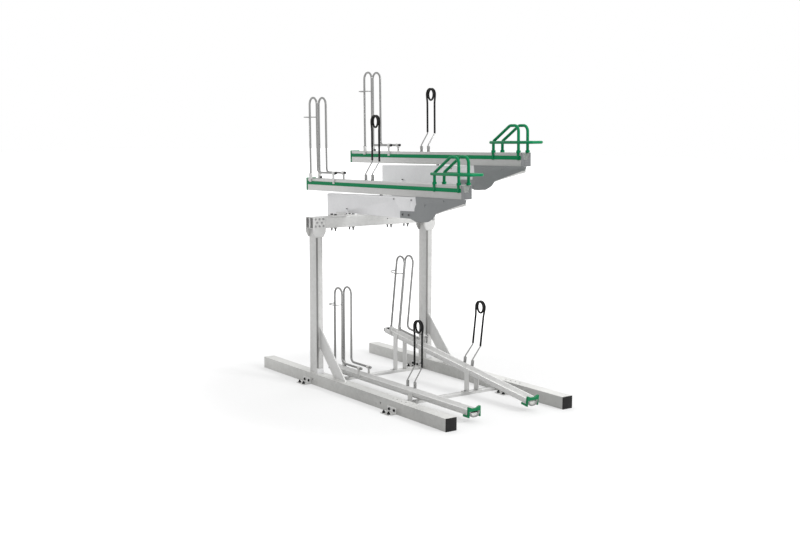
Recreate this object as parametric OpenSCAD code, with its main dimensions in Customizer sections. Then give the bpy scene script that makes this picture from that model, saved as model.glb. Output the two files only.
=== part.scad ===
// Two tier bike rack for two bays: a level and a sloped wheel tray on the floor, and two raised trays that
// tilt down and draw out to the front. X runs across the rack, Y along the trays with the user at -Y, and
// Z up. The origin lies on the floor under the middle of the rack.

/* [Bays] */
// Distance between the centre lines of neighbouring bikes
bay_w = 500; // [460:10:600]
// Height of the far upper lane above the near one
level_step = 200; // [120:10:260]
// Downward slope of the upper trays towards the rear, in degrees
tray_slope = 1; // [0.5:0.1:1.6]
// Space between the hinge pins of the upper trays and the middle of the rack
pivot_y = 558; // [540:1:575]

/* [Rails] */
// Length of a floor rail without its caps
rail_l = 2340; // [2300:10:2600]
// Width and height of a floor rail
rail_w = 86; // [80:1:100]
// Wall of a floor rail
rail_t = 4; // [3:0.5:6]
// Thickness of a rail cap outside the rail
cap_t = 6; // [3:0.5:12]
// Depth of a rail cap's plug inside the rail
cap_plug = 20; // [10:1:40]
// Diameter of the holes on top of a rail
top_hole_d = 14; // [8:0.5:20]
// Distance between the holes on top of a rail
top_hole_pitch = 50; // [30:1:60]
// Space between the holes' middle and the middle of the rack
top_hole_y = 610; // [560:5:700]

/* [Floor fixings] */
// Width of a crossbar along the trays
cross_w = 50; // [40:1:60]
// Thickness of a crossbar
cross_t = 18; // [14:1:24]
// Space between the rear crossbar's centre line and the middle of the rack
rear_cross_y = 436; // [420:1:450]
// Space between the front crossbar's centre line and the middle of the rack
front_cross_y = 448; // [430:1:470]
// Height of a crossbar's end plate
end_plate_h = 60; // [54:1:80]
// Length of a floor bracket
bracket_l = 100; // [90:1:120]
// Reach of a floor bracket beyond the rail
bracket_reach = 65; // [58:1:80]
// Height of a floor bracket
bracket_h = 45; // [40:1:60]
// Sheet of the brackets, plates and feet
plate_t = 5; // [3:0.5:6]
// Space between the front brackets' middle and the middle of the rack
front_bracket_y = 588; // [560:1:640]
// Shank diameter of the floor bolts
floor_bolt_d = 12; // [10:0.5:14]

/* [Posts and crossbeam] */
// Width of a post
post_w = 54; // [50:1:60]
// Depth of a post and of the crossbeam
post_d = 98; // [90:1:110]
// Wall of a post, the crossbeam and the riser
post_t = 4; // [3:0.5:6]
// Space between the posts' centre line and the middle of the rack
post_y = 448; // [440:1:456]
// Width of the dark groove along a post's front corner
groove_w = 14; // [8:0.5:18]
// Height of the crossbeam's underside
beam_z = 1160; // [1100:10:1300]
// Height of the crossbeam's section
beam_h = 82; // [80:1:100]
// Overhang of the crossbeam beyond the post's centre line
beam_over = 53; // [45:1:70]
// Height at which a brace meets its post
brace_top = 440; // [400:5:500]
// Upright length of a brace's end on the post
brace_end = 154; // [120:1:180]
// Thickness of a brace
brace_t = 10; // [6:0.5:12]
// Width of a head plate
head_w = 106; // [100:1:110]
// Length of a head plate below the crossbeam
head_drop = 62; // [50:1:80]
// Width of a head plate's lower end
head_low_w = 66; // [56:1:80]
// Shank diameter of the head bolts
head_bolt_d = 8; // [6:0.5:10]
// Width of the clamp plates on the crossbeam
clamp_w = 190; // [180:1:200]
// Thickness of the clamp plates
clamp_t = 8; // [6:0.5:12]
// Shank diameter of the clamp bolts
clamp_bolt_d = 12; // [10:0.5:14]
// Length of the clamp bolts below the crossbeam
clamp_bolt_drop = 26; // [20:1:40]
// Height of the saddle between the clamp plate and the near box
saddle_h = 17; // [8:1:40]

/* [Support boxes] */
// Width of a support box
box_w = 44; // [40:1:48]
// Space from the lane's centre line to the box's near side
box_side = 40; // [38:0.5:42]
// Wall of a support box
box_t = 3; // [2:0.5:4]
// Depth of the box's underside below the tray's underside
box_drop = 150; // [145:1:170]
// Gap between box and tray at the front end
box_front_gap = 1; // [0.5:0.5:4]
// Gap between box and tray at the rear end
box_rear_gap = 15.5; // [12:0.5:20]
// Space between the box's front end and the hinge pin
box_to_pin = 50; // [48:1:60]
// Space between the box's rear end and the middle of the rack
box_rear = 625; // [600:5:700]
// Depth of the lug that hangs behind the crossbeam
lug_drop = 34; // [20:1:40]

/* [Tilt arms] */
// Depth of the hinge pin below the tray's underside
pivot_drop = 100; // [97:0.5:104]
// Diameter of the hinge pin
pin_d = 16; // [12:0.5:18]
// Radius of the hinge brackets around the pin
belly_r = 70; // [64:1:72]
// Radius of the arm's hub cheeks around the pin
hub_r = 40; // [32:1:44]
// Sheet of the arms, their covers and the hinge brackets
arm_t = 3; // [2:0.5:3]
// Space between the hinge pin and the arm's front end
arm_l = 488; // [460:1:520]
// Length of the arm's lever below the hinge pin
lever_l = 35; // [30:0.5:36]
// Diameter of a lift strut
strut_d = 20; // [16:0.5:20]
// Diameter of a lift strut's push rod
push_d = 8; // [6:0.5:10]
// Diameter of a guide roller
roller_d = 34; // [30:0.5:34]
// Width of a guide roller
roller_w = 16; // [12:0.5:18]

/* [Wheel trays] */
// Width of every wheel tray
tray_w = 84; // [80:1:96]
// Sheet of the wheel trays
tray_t = 3; // [2:0.5:3]
// Width of the wheel gutter between the lips
gutter_w = 66; // [60:1:68]
// Height of an upper tray
tray_h = 90; // [84:1:100]
// Depth of an upper tray's gutter
gutter_d = 45; // [40:1:45]
// Width of an upper tray's gutter floor
gutter_floor_w = 34; // [30:1:38]
// Width of the slot under an upper tray
slot_w = 20; // [16:0.5:24]
// Length of an upper tray in front of the middle of the rack
tray_front = 994; // [980:1:1040]
// Length of the near upper tray behind its rear hoop legs
near_tail = 59; // [30:1:100]
// Length of the far upper tray behind its rear hoop legs
far_tail = 206; // [100:1:260]
// Height of a green side strip
strip_h = 26; // [20:0.5:30]
// Depth of a side strip's top edge below the lip
strip_drop = 19; // [14:0.5:24]
// Sheet of a side strip
strip_t = 1.5; // [1:0.1:2]
// Thickness of the upper trays' rear caps
rear_cap_t = 5; // [3:0.5:10]
// Length of the rear cap's sides along the tray
rear_cap_wrap = 14; // [8:1:24]
// Rise of the rear cap above the lips
rear_cap_rise = 6; // [0:0.5:10]

/* [Lower trays] */
// Height of a lower tray
low_h = 50; // [48:1:60]
// Depth of a lower tray's gutter
low_gutter_d = 22; // [18:0.5:24]
// Width of a lower tray's gutter floor
low_floor_w = 30; // [24:1:36]
// Width of a lower tray's round underside
low_body_w = 74; // [70:1:76]
// Height of the skirts that hang from a lower tray's lips
skirt_h = 27; // [22:1:30]
// Space between the lower trays' front ends and the middle of the rack
low_front = 1085; // [1060:5:1120]
// Height of the level tray's underside
low_z = 38; // [34:1:50]
// Height of the sloped tray's underside at its front end
sloped_z = 43; // [38:1:60]
// Upward slope of the sloped tray towards the rear, in degrees
low_slope = 7.9; // [5:0.1:9]
// Space from a lower tray's front end to its rear hoop legs
low_hoop_s = 1611; // [1560:1:1640]
// Length of a lower tray behind its rear hoop legs
low_tail = 84; // [60:1:120]
// Thickness of the green end caps
green_t = 16; // [12:0.5:20]

/* [Wheel hoops] */
// Diameter of a hoop's tube
hoop_d = 16; // [12:0.5:18]
// Height of a hoop above the tray's lip
hoop_h = 618; // [560:1:660]
// Distance between a hoop's legs
hoop_span = 102; // [90:1:120]
// Space between the upper hoops' rear legs and the middle of the rack
hoop_y = 859; // [820:1:900]
// Height of a hoop's level rod above the lip
rod_h = 48; // [46:1:60]
// Bend of a hoop's front leg into its level rod
rod_bend = 34; // [26:1:36]
// Length of a hoop's level rod, from the rear leg
rod_l = 357; // [320:1:400]
// Space between the rod's bracket and the rod's end
bracket_in = 24; // [20:1:40]
// Height of an upper lock loop above the lip
loop_h = 464; // [400:1:500]
// Height of a lower lock loop above the lip
low_loop_h = 490; // [400:1:500]
// Reach of a lock loop beyond its hoop
loop_reach = 71; // [60:1:80]
// Diameter of the lock loop's wire
loop_d = 8; // [5:0.5:9]
// Diameter of a black end knob
knob_d = 20; // [18:0.5:24]
// Length of a black end knob
knob_l = 10; // [8:0.5:26]

/* [Sprung holders] */
// Diameter of the bare wire
wire_d = 9; // [7:0.5:10]
// Diameter of the wire with its black coat
coat_d = 14.5; // [12:0.5:16]
// Width of a holder's coil between its centre lines
coil_span = 82; // [70:1:90]
// Distance between a holder's feet
foot_span = 86; // [76:1:96]
// Distance between a holder's upright legs above its kinks
leg_span = 68; // [60:1:74]
// Height of the coil's centre above the lip
coil_h = 423; // [380:1:460]
// Turns of the coil
coil_turns = 1.5; // [1.5:1:2.5]
// Advance of the coil in one turn
coil_pitch = 15.5; // [15.5:0.5:19]
// Height at which the wire leans outward
lean_low = 48; // [40:1:60]
// Height at which the wire stands upright again
lean_high = 135; // [120:1:150]
// Outward reach of the leaning wire
lean_out = 60; // [45:1:70]
// Space between an upper holder and the hoop's rear legs
holder_back = 681; // [640:1:720]
// Space between a lower holder and the hoop's rear legs
low_holder_back = 872; // [820:1:900]

/* [Pull handles] */
// Diameter of a handle's tube
handle_d = 20; // [16:0.5:22]
// Height of a handle's top above the lip
handle_h = 190; // [170:1:210]
// Height of the slanting tube's low end above the lip
handle_low = 76; // [70:1:90]
// Height of the level loop above the lip
handle_loop_h = 69; // [64:1:80]
// Space between a handle's rear legs and the middle of the rack
handle_rear = 711; // [690:1:730]
// Space between a handle's front legs and the middle of the rack
handle_front = 968; // [950:1:980]
// Reach of the level loop beyond the front legs
handle_reach = 132; // [100:1:150]

/* [Motion] */
// Tilt of an upper tray, in degrees
tilt_range = 40; // [20:1:42]

/* [Hidden] */
near = -1;
far = 1;

galvanised = [0.78, 0.78, 0.77];
rail_zinc = [0.71, 0.71, 0.69];
signal_green = [0.09, 0.51, 0.32];
dark_sheet = [0.48, 0.5, 0.5];
black = [0.11, 0.11, 0.1];
light_plastic = [0.85, 0.85, 0.83];

// Clearances and overruns
cut = 1;
weld = 0.5;
seat_gap = 0.3;
run_gap = 0.05;
slant_gap = 0.05;
hole_gap = 0.3;
sleeve_gap = 0.1;
fine = 48;
small = 24;

// Rails, crossbars and brackets
rail_x = bay_w;
rail_in = rail_w - 2 * rail_t;
rail_inner_x = rail_x - rail_w / 2;
cap_play = 0.3;
access_d = 12;
access_z = 42;
bracket_gap = 3;
rear_bracket_y = rear_cross_y + cross_w / 2 + bracket_gap + bracket_l / 2;
floor_bolt_x = 50;
floor_bolt_y = 28;
side_bolt_y = 29;
side_bolt_z = 25;
side_bolt_d = 10;
floor_head_d = 22;
floor_head_h = 10;
floor_stub = 9;
side_head_d = 18;
side_head_h = 7;
bolt_lift = 1;
end_bolt_d = 10;

// Posts, crossbeam and what clamps on it
post_front = post_y - post_d / 2;
post_rear = post_y + post_d / 2;
groove_d = 5;
groove_end = 40;
foot_h = 35;
beam_top = beam_z + beam_h;
beam_l = 2 * (rail_x + beam_over);
head_chamfer = 36;
head_row_a = 12;
head_row_b = 37;
head_row_c = 64;
head_wide = 33;
head_narrow = 20;
head_head_d = 15;
head_head_h = 6;
head_nut_in = 4;
clamp_offset = 18;
clamp_bolt_x = 78;
clamp_bolt_y = 25;
clamp_head_d = 21;
clamp_head_h = 9;
riser_t = post_t;
beam_rib_l = 30;
beam_rib_t = 20;
plug_hole_x = 105;
plug_hole_d = 9;

// Upper lane: lane axes start at the tray's underside over the middle of the rack, s along the tray
// towards the rear and n square to it, so a point (s, n) of the lane stands for (y, z)
saddle_top = beam_top + clamp_t + saddle_h;
tray_z = saddle_top + box_drop / cos(tray_slope) + post_y * tan(tray_slope);
function lane_x(side) = side * bay_w / 2;
function lane_z(side) = tray_z + (side == far ? level_step : 0);
function underside_z(side, y) = lane_z(side) - box_drop / cos(tray_slope) - y * tan(tray_slope);
box_front = pivot_y - box_to_pin;
box_near = -box_side;
box_far = box_w - box_side;
box_l = box_front + box_rear;
lug_gap = 6;
ear_s = 350;
ear_w = 30;
ear_reach = 12;
ear_h = 28;
stop_s = 58;
stop_l = 16;
stop_w = 16;

// Hinge bracket, arm and cover
bracket_rear = 322;
bracket_top = 103;
bracket_low_l = 117;
bracket_belly_s = 50;
bracket_neck_s = 36;
bracket_neck_n = 5;
cover_gap = 1;
cover_x = box_near - arm_t - cover_gap;
arm_near = cover_x;
arm_far = box_far;
wide_gap = 17;
wide_s = pivot_y + belly_r + wide_gap;
arm_top = 4;
arm_low = 103;
arm_tip_h = 27;
arm_tip_back = 10;
arm_knee = 139;
tip_mitre = 60;
cheek_t = 4;
cheek_gap = 3;
cheek_back = 55;
hub_tube_d = 32;
// Points of unit length on the hub circle
hub_long_share = 0.8;
hub_short_share = 0.6;
lever_w = 14;
lever_t = 8;
nose_d = 18;
nose_w = 20;
pad_d = 20;
pad_t = 6;
strut_gap = 118;
strut_l = 250;
rod_in = 45;
bore_end = 20;
strut_bore_l = rod_in + lever_l * tilt_range * PI / 180 + bore_end;
strut_x = (box_near + box_far) / 2;
strut_eye_d = 8;
pin_head_d = 26;
pin_head_t = 5;
cover_l = 547;
cover_h = 171;
// Outline of the arm cover in shares of its length and height, from its front top corner
cover_shares = [
  [0, 1], [0.026, 0.851], [0.59, 0.375], [0.651, 0.187], [0.711, 0.094], [0.79, 0.03], [0.9, 0],
  [0.985, 0.05], [0.993, 0.2], [0.973, 0.42], [1, 0.953]
];
cover_behind = 51;
cover_front = pivot_y + cover_l - cover_behind;
cover_top = 1;
cover_bolt_d = 14;
cover_bolt_h = 5;
blade_t = 8;
blade_back = 19;
blade_front = tray_front - blade_back;
blade_to_pin = 42;
blade_rear = pivot_y + blade_to_pin;
axle_d = 10;
axle_back = 45;
axle_head_d = 14;
axle_head_t = 2.7;
shoe_w = 36;
shoe_l = 80;
roller_gap = 1;
roof = tray_h - gutter_d - tray_t;
roller_n = roof - seat_gap - roller_d / 2;
roller_s = blade_front - axle_back;
blade_roof_gap = 4;
blade_top = roof - blade_roof_gap;

// Trays
half_w = tray_w / 2;
gutter_run = (gutter_w - gutter_floor_w) / 2;
wall_run = tray_t * sqrt(gutter_run * gutter_run + gutter_d * gutter_d) / gutter_d;
low_run = (gutter_w - low_floor_w) / 2;
low_wall_run = tray_t * sqrt(low_run * low_run + low_gutter_d * low_gutter_d) / low_gutter_d;
low_r = 34;
low_l = low_hoop_s + low_tail;
rim_l = green_t;
rim_side = 11;
rim_base = 10;
rim_top_gap = 10;
rim_r = 26;
arm_w = 8;
cap_foot = 45;
cap_foot_h = 14;
cap_rise = 20;
cap_sag = 12;
trim_t = 8;
support_t = 5;
support_rise = 44;
support_foot = 30;
support_bolt_d = 8;

// Fittings on the trays
leg_inset = 2;
leg_x = half_w - leg_inset;
clamp_plate_t = 4;
sleeve_wall = 5;
sleeve_h = 40;
hoop_plate_w = 30;
hoop_plate_drop = 25;
rod_plate_w = 25;
rod_plate_drop = 32;
holder_plate_w = 22;
fit_bolt_d = 11;
fit_bolt_h = 4;
hoop_flat = 1;
hoop_bend = hoop_span / 2 - hoop_flat;
loop_bend = 46;
foot_knob_d = 14;
foot_knob_l = 12;
foot_knob_h = 9;
handle_plate_w = 20;
handle_plate_drop = 47;
handle_sleeve_h = 16;
handle_bend = 40;
handle_knee = 20;
handle_corner = 26;
handle_bite = 2;
bead_h = 0.2;
bead_l = 1.5;
loop_rod_x = leg_x + handle_d - handle_bite;

// Sprung holder's wire
wire_sides = 8;
loop_rings = 24;
coil_r = coil_span / 2;
coil_shift = coil_pitch * (coil_turns - 1 / 2) / 2;
holder_x = leg_x + lean_out;
coat_step = 2;
lean_round = 6;
holder_sleeve_h = lean_low - lean_round - seat_gap;
coat_low = lean_high + lean_round;
flare_h = 70;
flare_steps = [0, 0.25, 0.5, 0.75];

// Small shapes
module block(x, y, z) {
  translate([x[0], y[0], z[0]])
    cube([x[1] - x[0], y[1] - y[0], z[1] - z[0]]);
}

// A YZ outline drawn in the plane, raised along X from x to x + t
module across(x, t) {
  translate([x, 0, 0]) rotate([90, 0, 90]) linear_extrude(t) children();
}

// An XZ outline raised along Y from y0 to y1
module along(y0, y1) {
  translate([0, y1, 0]) rotate([90, 0, 0]) linear_extrude(y1 - y0) children();
}

// A round bar along X from x0 to x1 at (y, z)
module bar_x(x0, x1, y, z, d) {
  translate([x0, y, z]) rotate([0, 90, 0]) cylinder(d = d, h = x1 - x0, $fn = fine);
}

// A round bar along Y from y0 to y1 at (x, z)
module bar_y(y0, y1, x, z, d) {
  translate([x, y1, z]) rotate([90, 0, 0]) cylinder(d = d, h = y1 - y0, $fn = fine);
}

// A round bar along Z from z0 to z1 at (x, y)
module bar_z(z0, z1, x, y, d) {
  translate([x, y, z0]) cylinder(d = d, h = z1 - z0, $fn = fine);
}

// A hexagon head along Z from z0 to z1
module hex_z(z0, z1, x, y, d) {
  translate([x, y, z0]) cylinder(d = d, h = z1 - z0, $fn = 6);
}

// A hexagon head along Y
module hex_y(y0, y1, x, z, d) {
  translate([x, y1, z]) rotate([90, 0, 0]) cylinder(d = d, h = y1 - y0, $fn = 6);
}

// A hexagon head along X
module hex_x(x0, x1, y, z, d) {
  translate([x0, y, z]) rotate([0, 90, 0]) cylinder(d = d, h = x1 - x0, $fn = 6);
}

function heading(v) = atan2(v[1], v[0]);
function turn_at(path, i) =
  let (bend = heading(path[i + 1] - path[i]) - heading(path[i] - path[i - 1]))
  bend > 180 ? bend - 360 : bend < -180 ? bend + 360 : bend;
function setback(path, bends, i) =
  i == 0 || i == len(path) - 1 ? 0 : bends[i - 1] * tan(abs(turn_at(path, i)) / 2);

// A round tube in the XY plane whose centre line follows path, each corner rounded by its own bend.
// Where a bend meets a slanting run the two are joined by a small weld bead.
module tube_run(path, bends, d) {
  last = len(path) - 1;
  for (i = [0:last - 1]) {
    step = path[i + 1] - path[i];
    lead = setback(path, bends, i);
    run = norm(step) - lead - setback(path, bends, i + 1);
    start = path[i] + step / norm(step) * lead;
    translate([start[0], start[1], 0]) rotate([0, 0, heading(step)])
      rotate([0, 90, 0]) cylinder(d = d, h = run, $fn = small);
  }
  for (i = [1:last - 1]) {
    turn = turn_at(path, i);
    step = path[i] - path[i - 1];
    ahead = step / norm(step);
    side = turn > 0 ? 1 : -1;
    inward = [-ahead[1], ahead[0]] * side;
    centre = path[i] - ahead * setback(path, bends, i) + inward * bends[i - 1];
    if (abs(turn) != 90) for (way = [-step, path[i + 1] - path[i]]) {
      joint = path[i] + way / norm(way) * setback(path, bends, i);
      translate([joint[0], joint[1], 0]) rotate([0, 0, heading(way)]) translate([-bead_l, 0, 0])
        rotate([0, 90, 0]) cylinder(d = d + 2 * bead_h, h = 2 * bead_l, $fn = fine);
    }
    translate([centre[0], centre[1], 0])
      rotate([0, 0, heading(-inward) + (turn < 0 ? turn : 0)])
        rotate_extrude(angle = abs(turn), $fn = 2 * fine)
          translate([bends[i - 1], 0]) circle(d = d, $fn = small);
  }
}

// The same tube stood up in the YZ plane at x, path in (s, n)
module upright_run(x, path, bends, d) {
  translate([x, 0, 0]) rotate([90, 0, 90]) tube_run(path, bends, d);
}

// Places children on an upper lane
module lane(side) {
  translate([lane_x(side), 0, lane_z(side)]) rotate([-tray_slope, 0, 0]) children();
}

// Places children on a lower lane, from the tray's front end
module low_lane(side) {
  translate([lane_x(side), -low_front, side == far ? sloped_z : low_z])
    rotate([side == far ? low_slope : 0, 0, 0]) children();
}

// Floor rails
module rail(side) {
  color(rail_zinc) translate([side * rail_x, 0, 0]) difference() {
    block([-rail_w / 2, rail_w / 2], [-rail_l / 2, rail_l / 2], [0, rail_w]);
    block([-rail_in / 2, rail_in / 2], [-rail_l / 2 - cut, rail_l / 2 + cut], [rail_t, rail_w - rail_t]);
    for (i = [-1.5:1:1.5])
      bar_z(rail_w - rail_t - cut, rail_w + cut, 0, -top_hole_y + i * top_hole_pitch, top_hole_d);
    for (y = [rear_cross_y, -front_cross_y])
      bar_x(-rail_w / 2 - cut, rail_w / 2 + cut, y, access_z, access_d);
    for (y = [rear_bracket_y, -front_bracket_y], i = [-1, 1])
      bar_x(-rail_w / 2 - cut, rail_w / 2 + cut, y + i * side_bolt_y, side_bolt_z, side_bolt_d + hole_gap);
  }
}

module rail_cap(side, end, tint) {
  plug = rail_in - 2 * cap_play;
  color(tint) translate([side * rail_x, end * rail_l / 2, 0]) {
    block([-rail_w / 2, rail_w / 2], end > 0 ? [0, cap_t] : [-cap_t, 0], [0, rail_w]);
    block([-plug / 2, plug / 2], end > 0 ? [-cap_plug, weld] : [-weld, cap_plug],
      [rail_t + cap_play, rail_w - rail_t - cap_play]);
  }
}

module front_rail_caps() {
  for (side = [near, far]) rail_cap(side, -1, black);
}

module rear_rail_caps() {
  for (side = [near, far]) rail_cap(side, 1, light_plastic);
}

// Crossbars with an end plate on each rail
module crossbar(y) {
  reach = rail_inner_x;
  color(galvanised) difference() {
    union() {
      block([-reach, reach], [y - cross_w / 2, y + cross_w / 2], [0, cross_t]);
      for (side = [near, far])
        block(side < 0 ? [-reach, -reach + plate_t] : [reach - plate_t, reach],
          [y - cross_w / 2, y + cross_w / 2], [0, end_plate_h]);
    }
    for (side = [near, far])
      bar_x(side * reach - plate_t - cut, side * reach + plate_t + cut, y, access_z, end_bolt_d + hole_gap);
    for (lane_side = [near, far], i = [-1, 1])
      bar_z(cross_t / 4, cross_t + cut, lane_x(lane_side) + i * support_bolt_x, y,
        support_bolt_d + hole_gap);
  }
}

module base_bolts() {
  color(galvanised) {
    for (side = [near, far], y = [rear_cross_y, -front_cross_y]) {
      face = rail_inner_x - plate_t;
      mirror([side > 0 ? 0 : 1, 0, 0]) {
        bar_x(face, rail_inner_x + rail_t + plate_t, y, access_z, end_bolt_d);
        hex_x(face - side_head_h, face, y, access_z, side_head_d);
      }
    }
    for (lane_side = [near, far], y = [rear_cross_y, -front_cross_y], i = [-1, 1]) {
      x = lane_x(lane_side) + i * support_bolt_x;
      bar_z(cross_t / 2, cross_t + support_t, x, y, support_bolt_d);
      hex_z(cross_t + support_t, cross_t + support_t + head_head_h, x, y, head_head_d);
    }
  }
}

// L brackets on the floor beside the rails
module each_bracket() {
  for (rail_side = [near, far], side = [-1, 1], y = [rear_bracket_y, -front_bracket_y])
    translate([rail_side * rail_x, y, 0]) mirror([side > 0 ? 0 : 1, 0, 0]) children();
}

module floor_brackets() {
  face = rail_w / 2;
  color(galvanised) each_bracket() difference() {
    union() {
      block([face, face + bracket_reach], [-bracket_l / 2, bracket_l / 2], [0, plate_t]);
      block([face, face + plate_t], [-bracket_l / 2, bracket_l / 2], [0, bracket_h]);
    }
    for (i = [-1, 1]) {
      bar_z(-cut, plate_t + cut, face + floor_bolt_x, i * floor_bolt_y, floor_bolt_d + hole_gap);
      bar_x(face - cut, face + plate_t + cut, i * side_bolt_y, side_bolt_z, side_bolt_d + hole_gap);
    }
  }
}

module floor_bolts() {
  face = rail_w / 2;
  color(black) each_bracket() for (i = [-1, 1]) {
    bar_z(bolt_lift, plate_t + floor_head_h + floor_stub, face + floor_bolt_x, i * floor_bolt_y,
      floor_bolt_d);
    hex_z(plate_t, plate_t + floor_head_h, face + floor_bolt_x, i * floor_bolt_y, floor_head_d);
    bar_x(face - rail_t - plate_t, face + plate_t, i * side_bolt_y, side_bolt_z, side_bolt_d);
    hex_x(face + plate_t, face + plate_t + side_head_h, i * side_bolt_y, side_bolt_z, side_head_d);
  }
}

// Posts with braces and foot plates
module post(side) {
  color(galvanised) translate([side * rail_x, 0, 0]) difference() {
    block([-post_w / 2, post_w / 2], [post_front, post_rear], [rail_w, beam_z]);
    block([-post_w / 2 + post_t, post_w / 2 - post_t], [post_front + post_t + groove_d, post_rear - post_t],
      [rail_w - cut, beam_z + cut]);
    block([-post_w / 2 - cut, -post_w / 2 + groove_w], [post_front - cut, post_front + groove_d],
      [rail_w + groove_end, beam_z - head_drop - plate_t]);
  }
}

module brace(side) {
  color(galvanised) across(side * rail_x - brace_t / 2, brace_t) polygon([
    [post_front, brace_top],
    [post_front, brace_top - brace_end],
    [post_front - (brace_top - brace_end - rail_w), rail_w],
    [post_front - (brace_top - rail_w), rail_w]
  ]);
}

module post_feet() {
  color(light_plastic) for (side = [near, far]) translate([side * rail_x, 0, 0])
    block([-post_w / 2, post_w / 2], [post_front - plate_t, post_front], [rail_w, rail_w + foot_h]);
}

// Head plates on the front and rear of each post head, with their bolts
head_places = [
  [-head_wide, head_row_a], [0, head_row_a], [head_wide, head_row_a],
  [-head_narrow, head_row_b], [head_narrow, head_row_b],
  [-head_wide, head_row_c], [0, head_row_c], [head_wide, head_row_c]
];

module head_outline() {
  low = beam_z - head_drop;
  polygon([
    [-head_w / 2, beam_top], [head_w / 2, beam_top], [head_w / 2, low + head_chamfer],
    [head_low_w / 2, low], [-head_low_w / 2, low], [-head_w / 2, low + head_chamfer]
  ]);
}

module head_plates() {
  color(galvanised) for (side = [near, far], y = [post_front - plate_t, post_rear])
    translate([side * rail_x, 0, 0]) difference() {
      along(y, y + plate_t) head_outline();
      for (p = head_places) bar_y(y - cut, y + plate_t + cut, p[0], beam_top - p[1], head_bolt_d + hole_gap);
    }
}

module head_bolts() {
  out = plate_t + head_head_h;
  inside = post_t + head_nut_in;
  color(rail_zinc) for (side = [near, far], p = head_places) {
    x = side * rail_x + p[0];
    z = beam_top - p[1];
    bar_y(post_front - plate_t, post_front + inside, x, z, head_bolt_d);
    hex_y(post_front - out, post_front - plate_t, x, z, head_head_d);
    bar_y(post_rear - inside, post_rear + plate_t, x, z, head_bolt_d);
    hex_y(post_rear + plate_t, post_rear + out, x, z, head_head_d);
  }
}

module crossbeam() {
  color(galvanised) difference() {
    union() {
      difference() {
        block([-beam_l / 2, beam_l / 2], [post_front, post_rear], [beam_z, beam_top]);
        block([-beam_l / 2 - cut, beam_l / 2 + cut], [post_front + post_t, post_rear - post_t],
          [beam_z + post_t, beam_top - post_t]);
      }
      for (x = [-beam_l / 2, beam_l / 2 - beam_rib_l])
        block([x, x + beam_rib_l], [post_y - beam_rib_t / 2, post_y + beam_rib_t / 2],
          [beam_z + post_t - weld, beam_top - post_t + weld]);
    }
    for (side = [near, far], p = head_places)
      bar_y(post_front - cut, post_rear + cut, side * rail_x + p[0], beam_top - p[1], head_bolt_d + hole_gap);
    for (side = [near, far]) each_clamp_bolt(side)
      bar_z(beam_z - cut, beam_top + cut, 0, 0, clamp_bolt_d + hole_gap);
    bar_y(post_front - cut, post_front + post_t + cut, plug_hole_x, beam_top - head_row_b, plug_hole_d);
  }
}

module each_clamp_bolt(side) {
  for (i = [-1, 1], j = [-1, 1])
    translate([lane_x(side) - clamp_offset + i * clamp_bolt_x, post_y + j * clamp_bolt_y, 0]) children();
}

// Clamp plates on the crossbeam: the near one carries the saddle of the near box
module clamp_plate(side) {
  difference() {
    block([lane_x(side) - clamp_offset - clamp_w / 2, lane_x(side) - clamp_offset + clamp_w / 2],
      [post_front, post_rear], [beam_top, beam_top + clamp_t]);
    each_clamp_bolt(side) bar_z(beam_top - cut, beam_top + clamp_t + cut, 0, 0, clamp_bolt_d + hole_gap);
  }
}

// Upright YZ outline from the clamp plate up to the underside of a box
module carrier_outline(side, shrink, base) {
  y0 = post_front + shrink;
  y1 = post_rear - shrink;
  polygon([
    [y0, base], [y1, base],
    [y1, underside_z(side, y1) - slant_gap], [y0, underside_z(side, y0) - slant_gap]
  ]);
}

module clamp_plates() {
  color(galvanised) {
    union() {
      clamp_plate(near);
      across(lane_x(near) + box_near, box_w) carrier_outline(near, 0, beam_top + clamp_t - weld);
    }
    clamp_plate(far);
  }
}

module clamp_bolts() {
  color(galvanised) for (side = [near, far]) each_clamp_bolt(side) {
    top = beam_top + clamp_t;
    bar_z(beam_z - clamp_bolt_drop, top, 0, 0, clamp_bolt_d);
    hex_z(top, top + clamp_head_h, 0, 0, clamp_head_d);
    hex_z(beam_z - clamp_head_h, beam_z, 0, 0, clamp_head_d);
  }
}

module far_riser() {
  inner_x = lane_x(far) + box_near + riser_t;
  color(galvanised) difference() {
    across(lane_x(far) + box_near, box_w) carrier_outline(far, 0, beam_top + clamp_t);
    block([inner_x, inner_x + box_w - 2 * riser_t], [post_front + riser_t, post_rear - riser_t],
      [beam_top + clamp_t - cut, underside_z(far, post_rear) - riser_t]);
  }
}

// Top edge of a support box at place s of the lane
function box_top(s) = -box_front_gap - (box_rear_gap - box_front_gap) * (s + box_front) / box_l;

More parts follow.
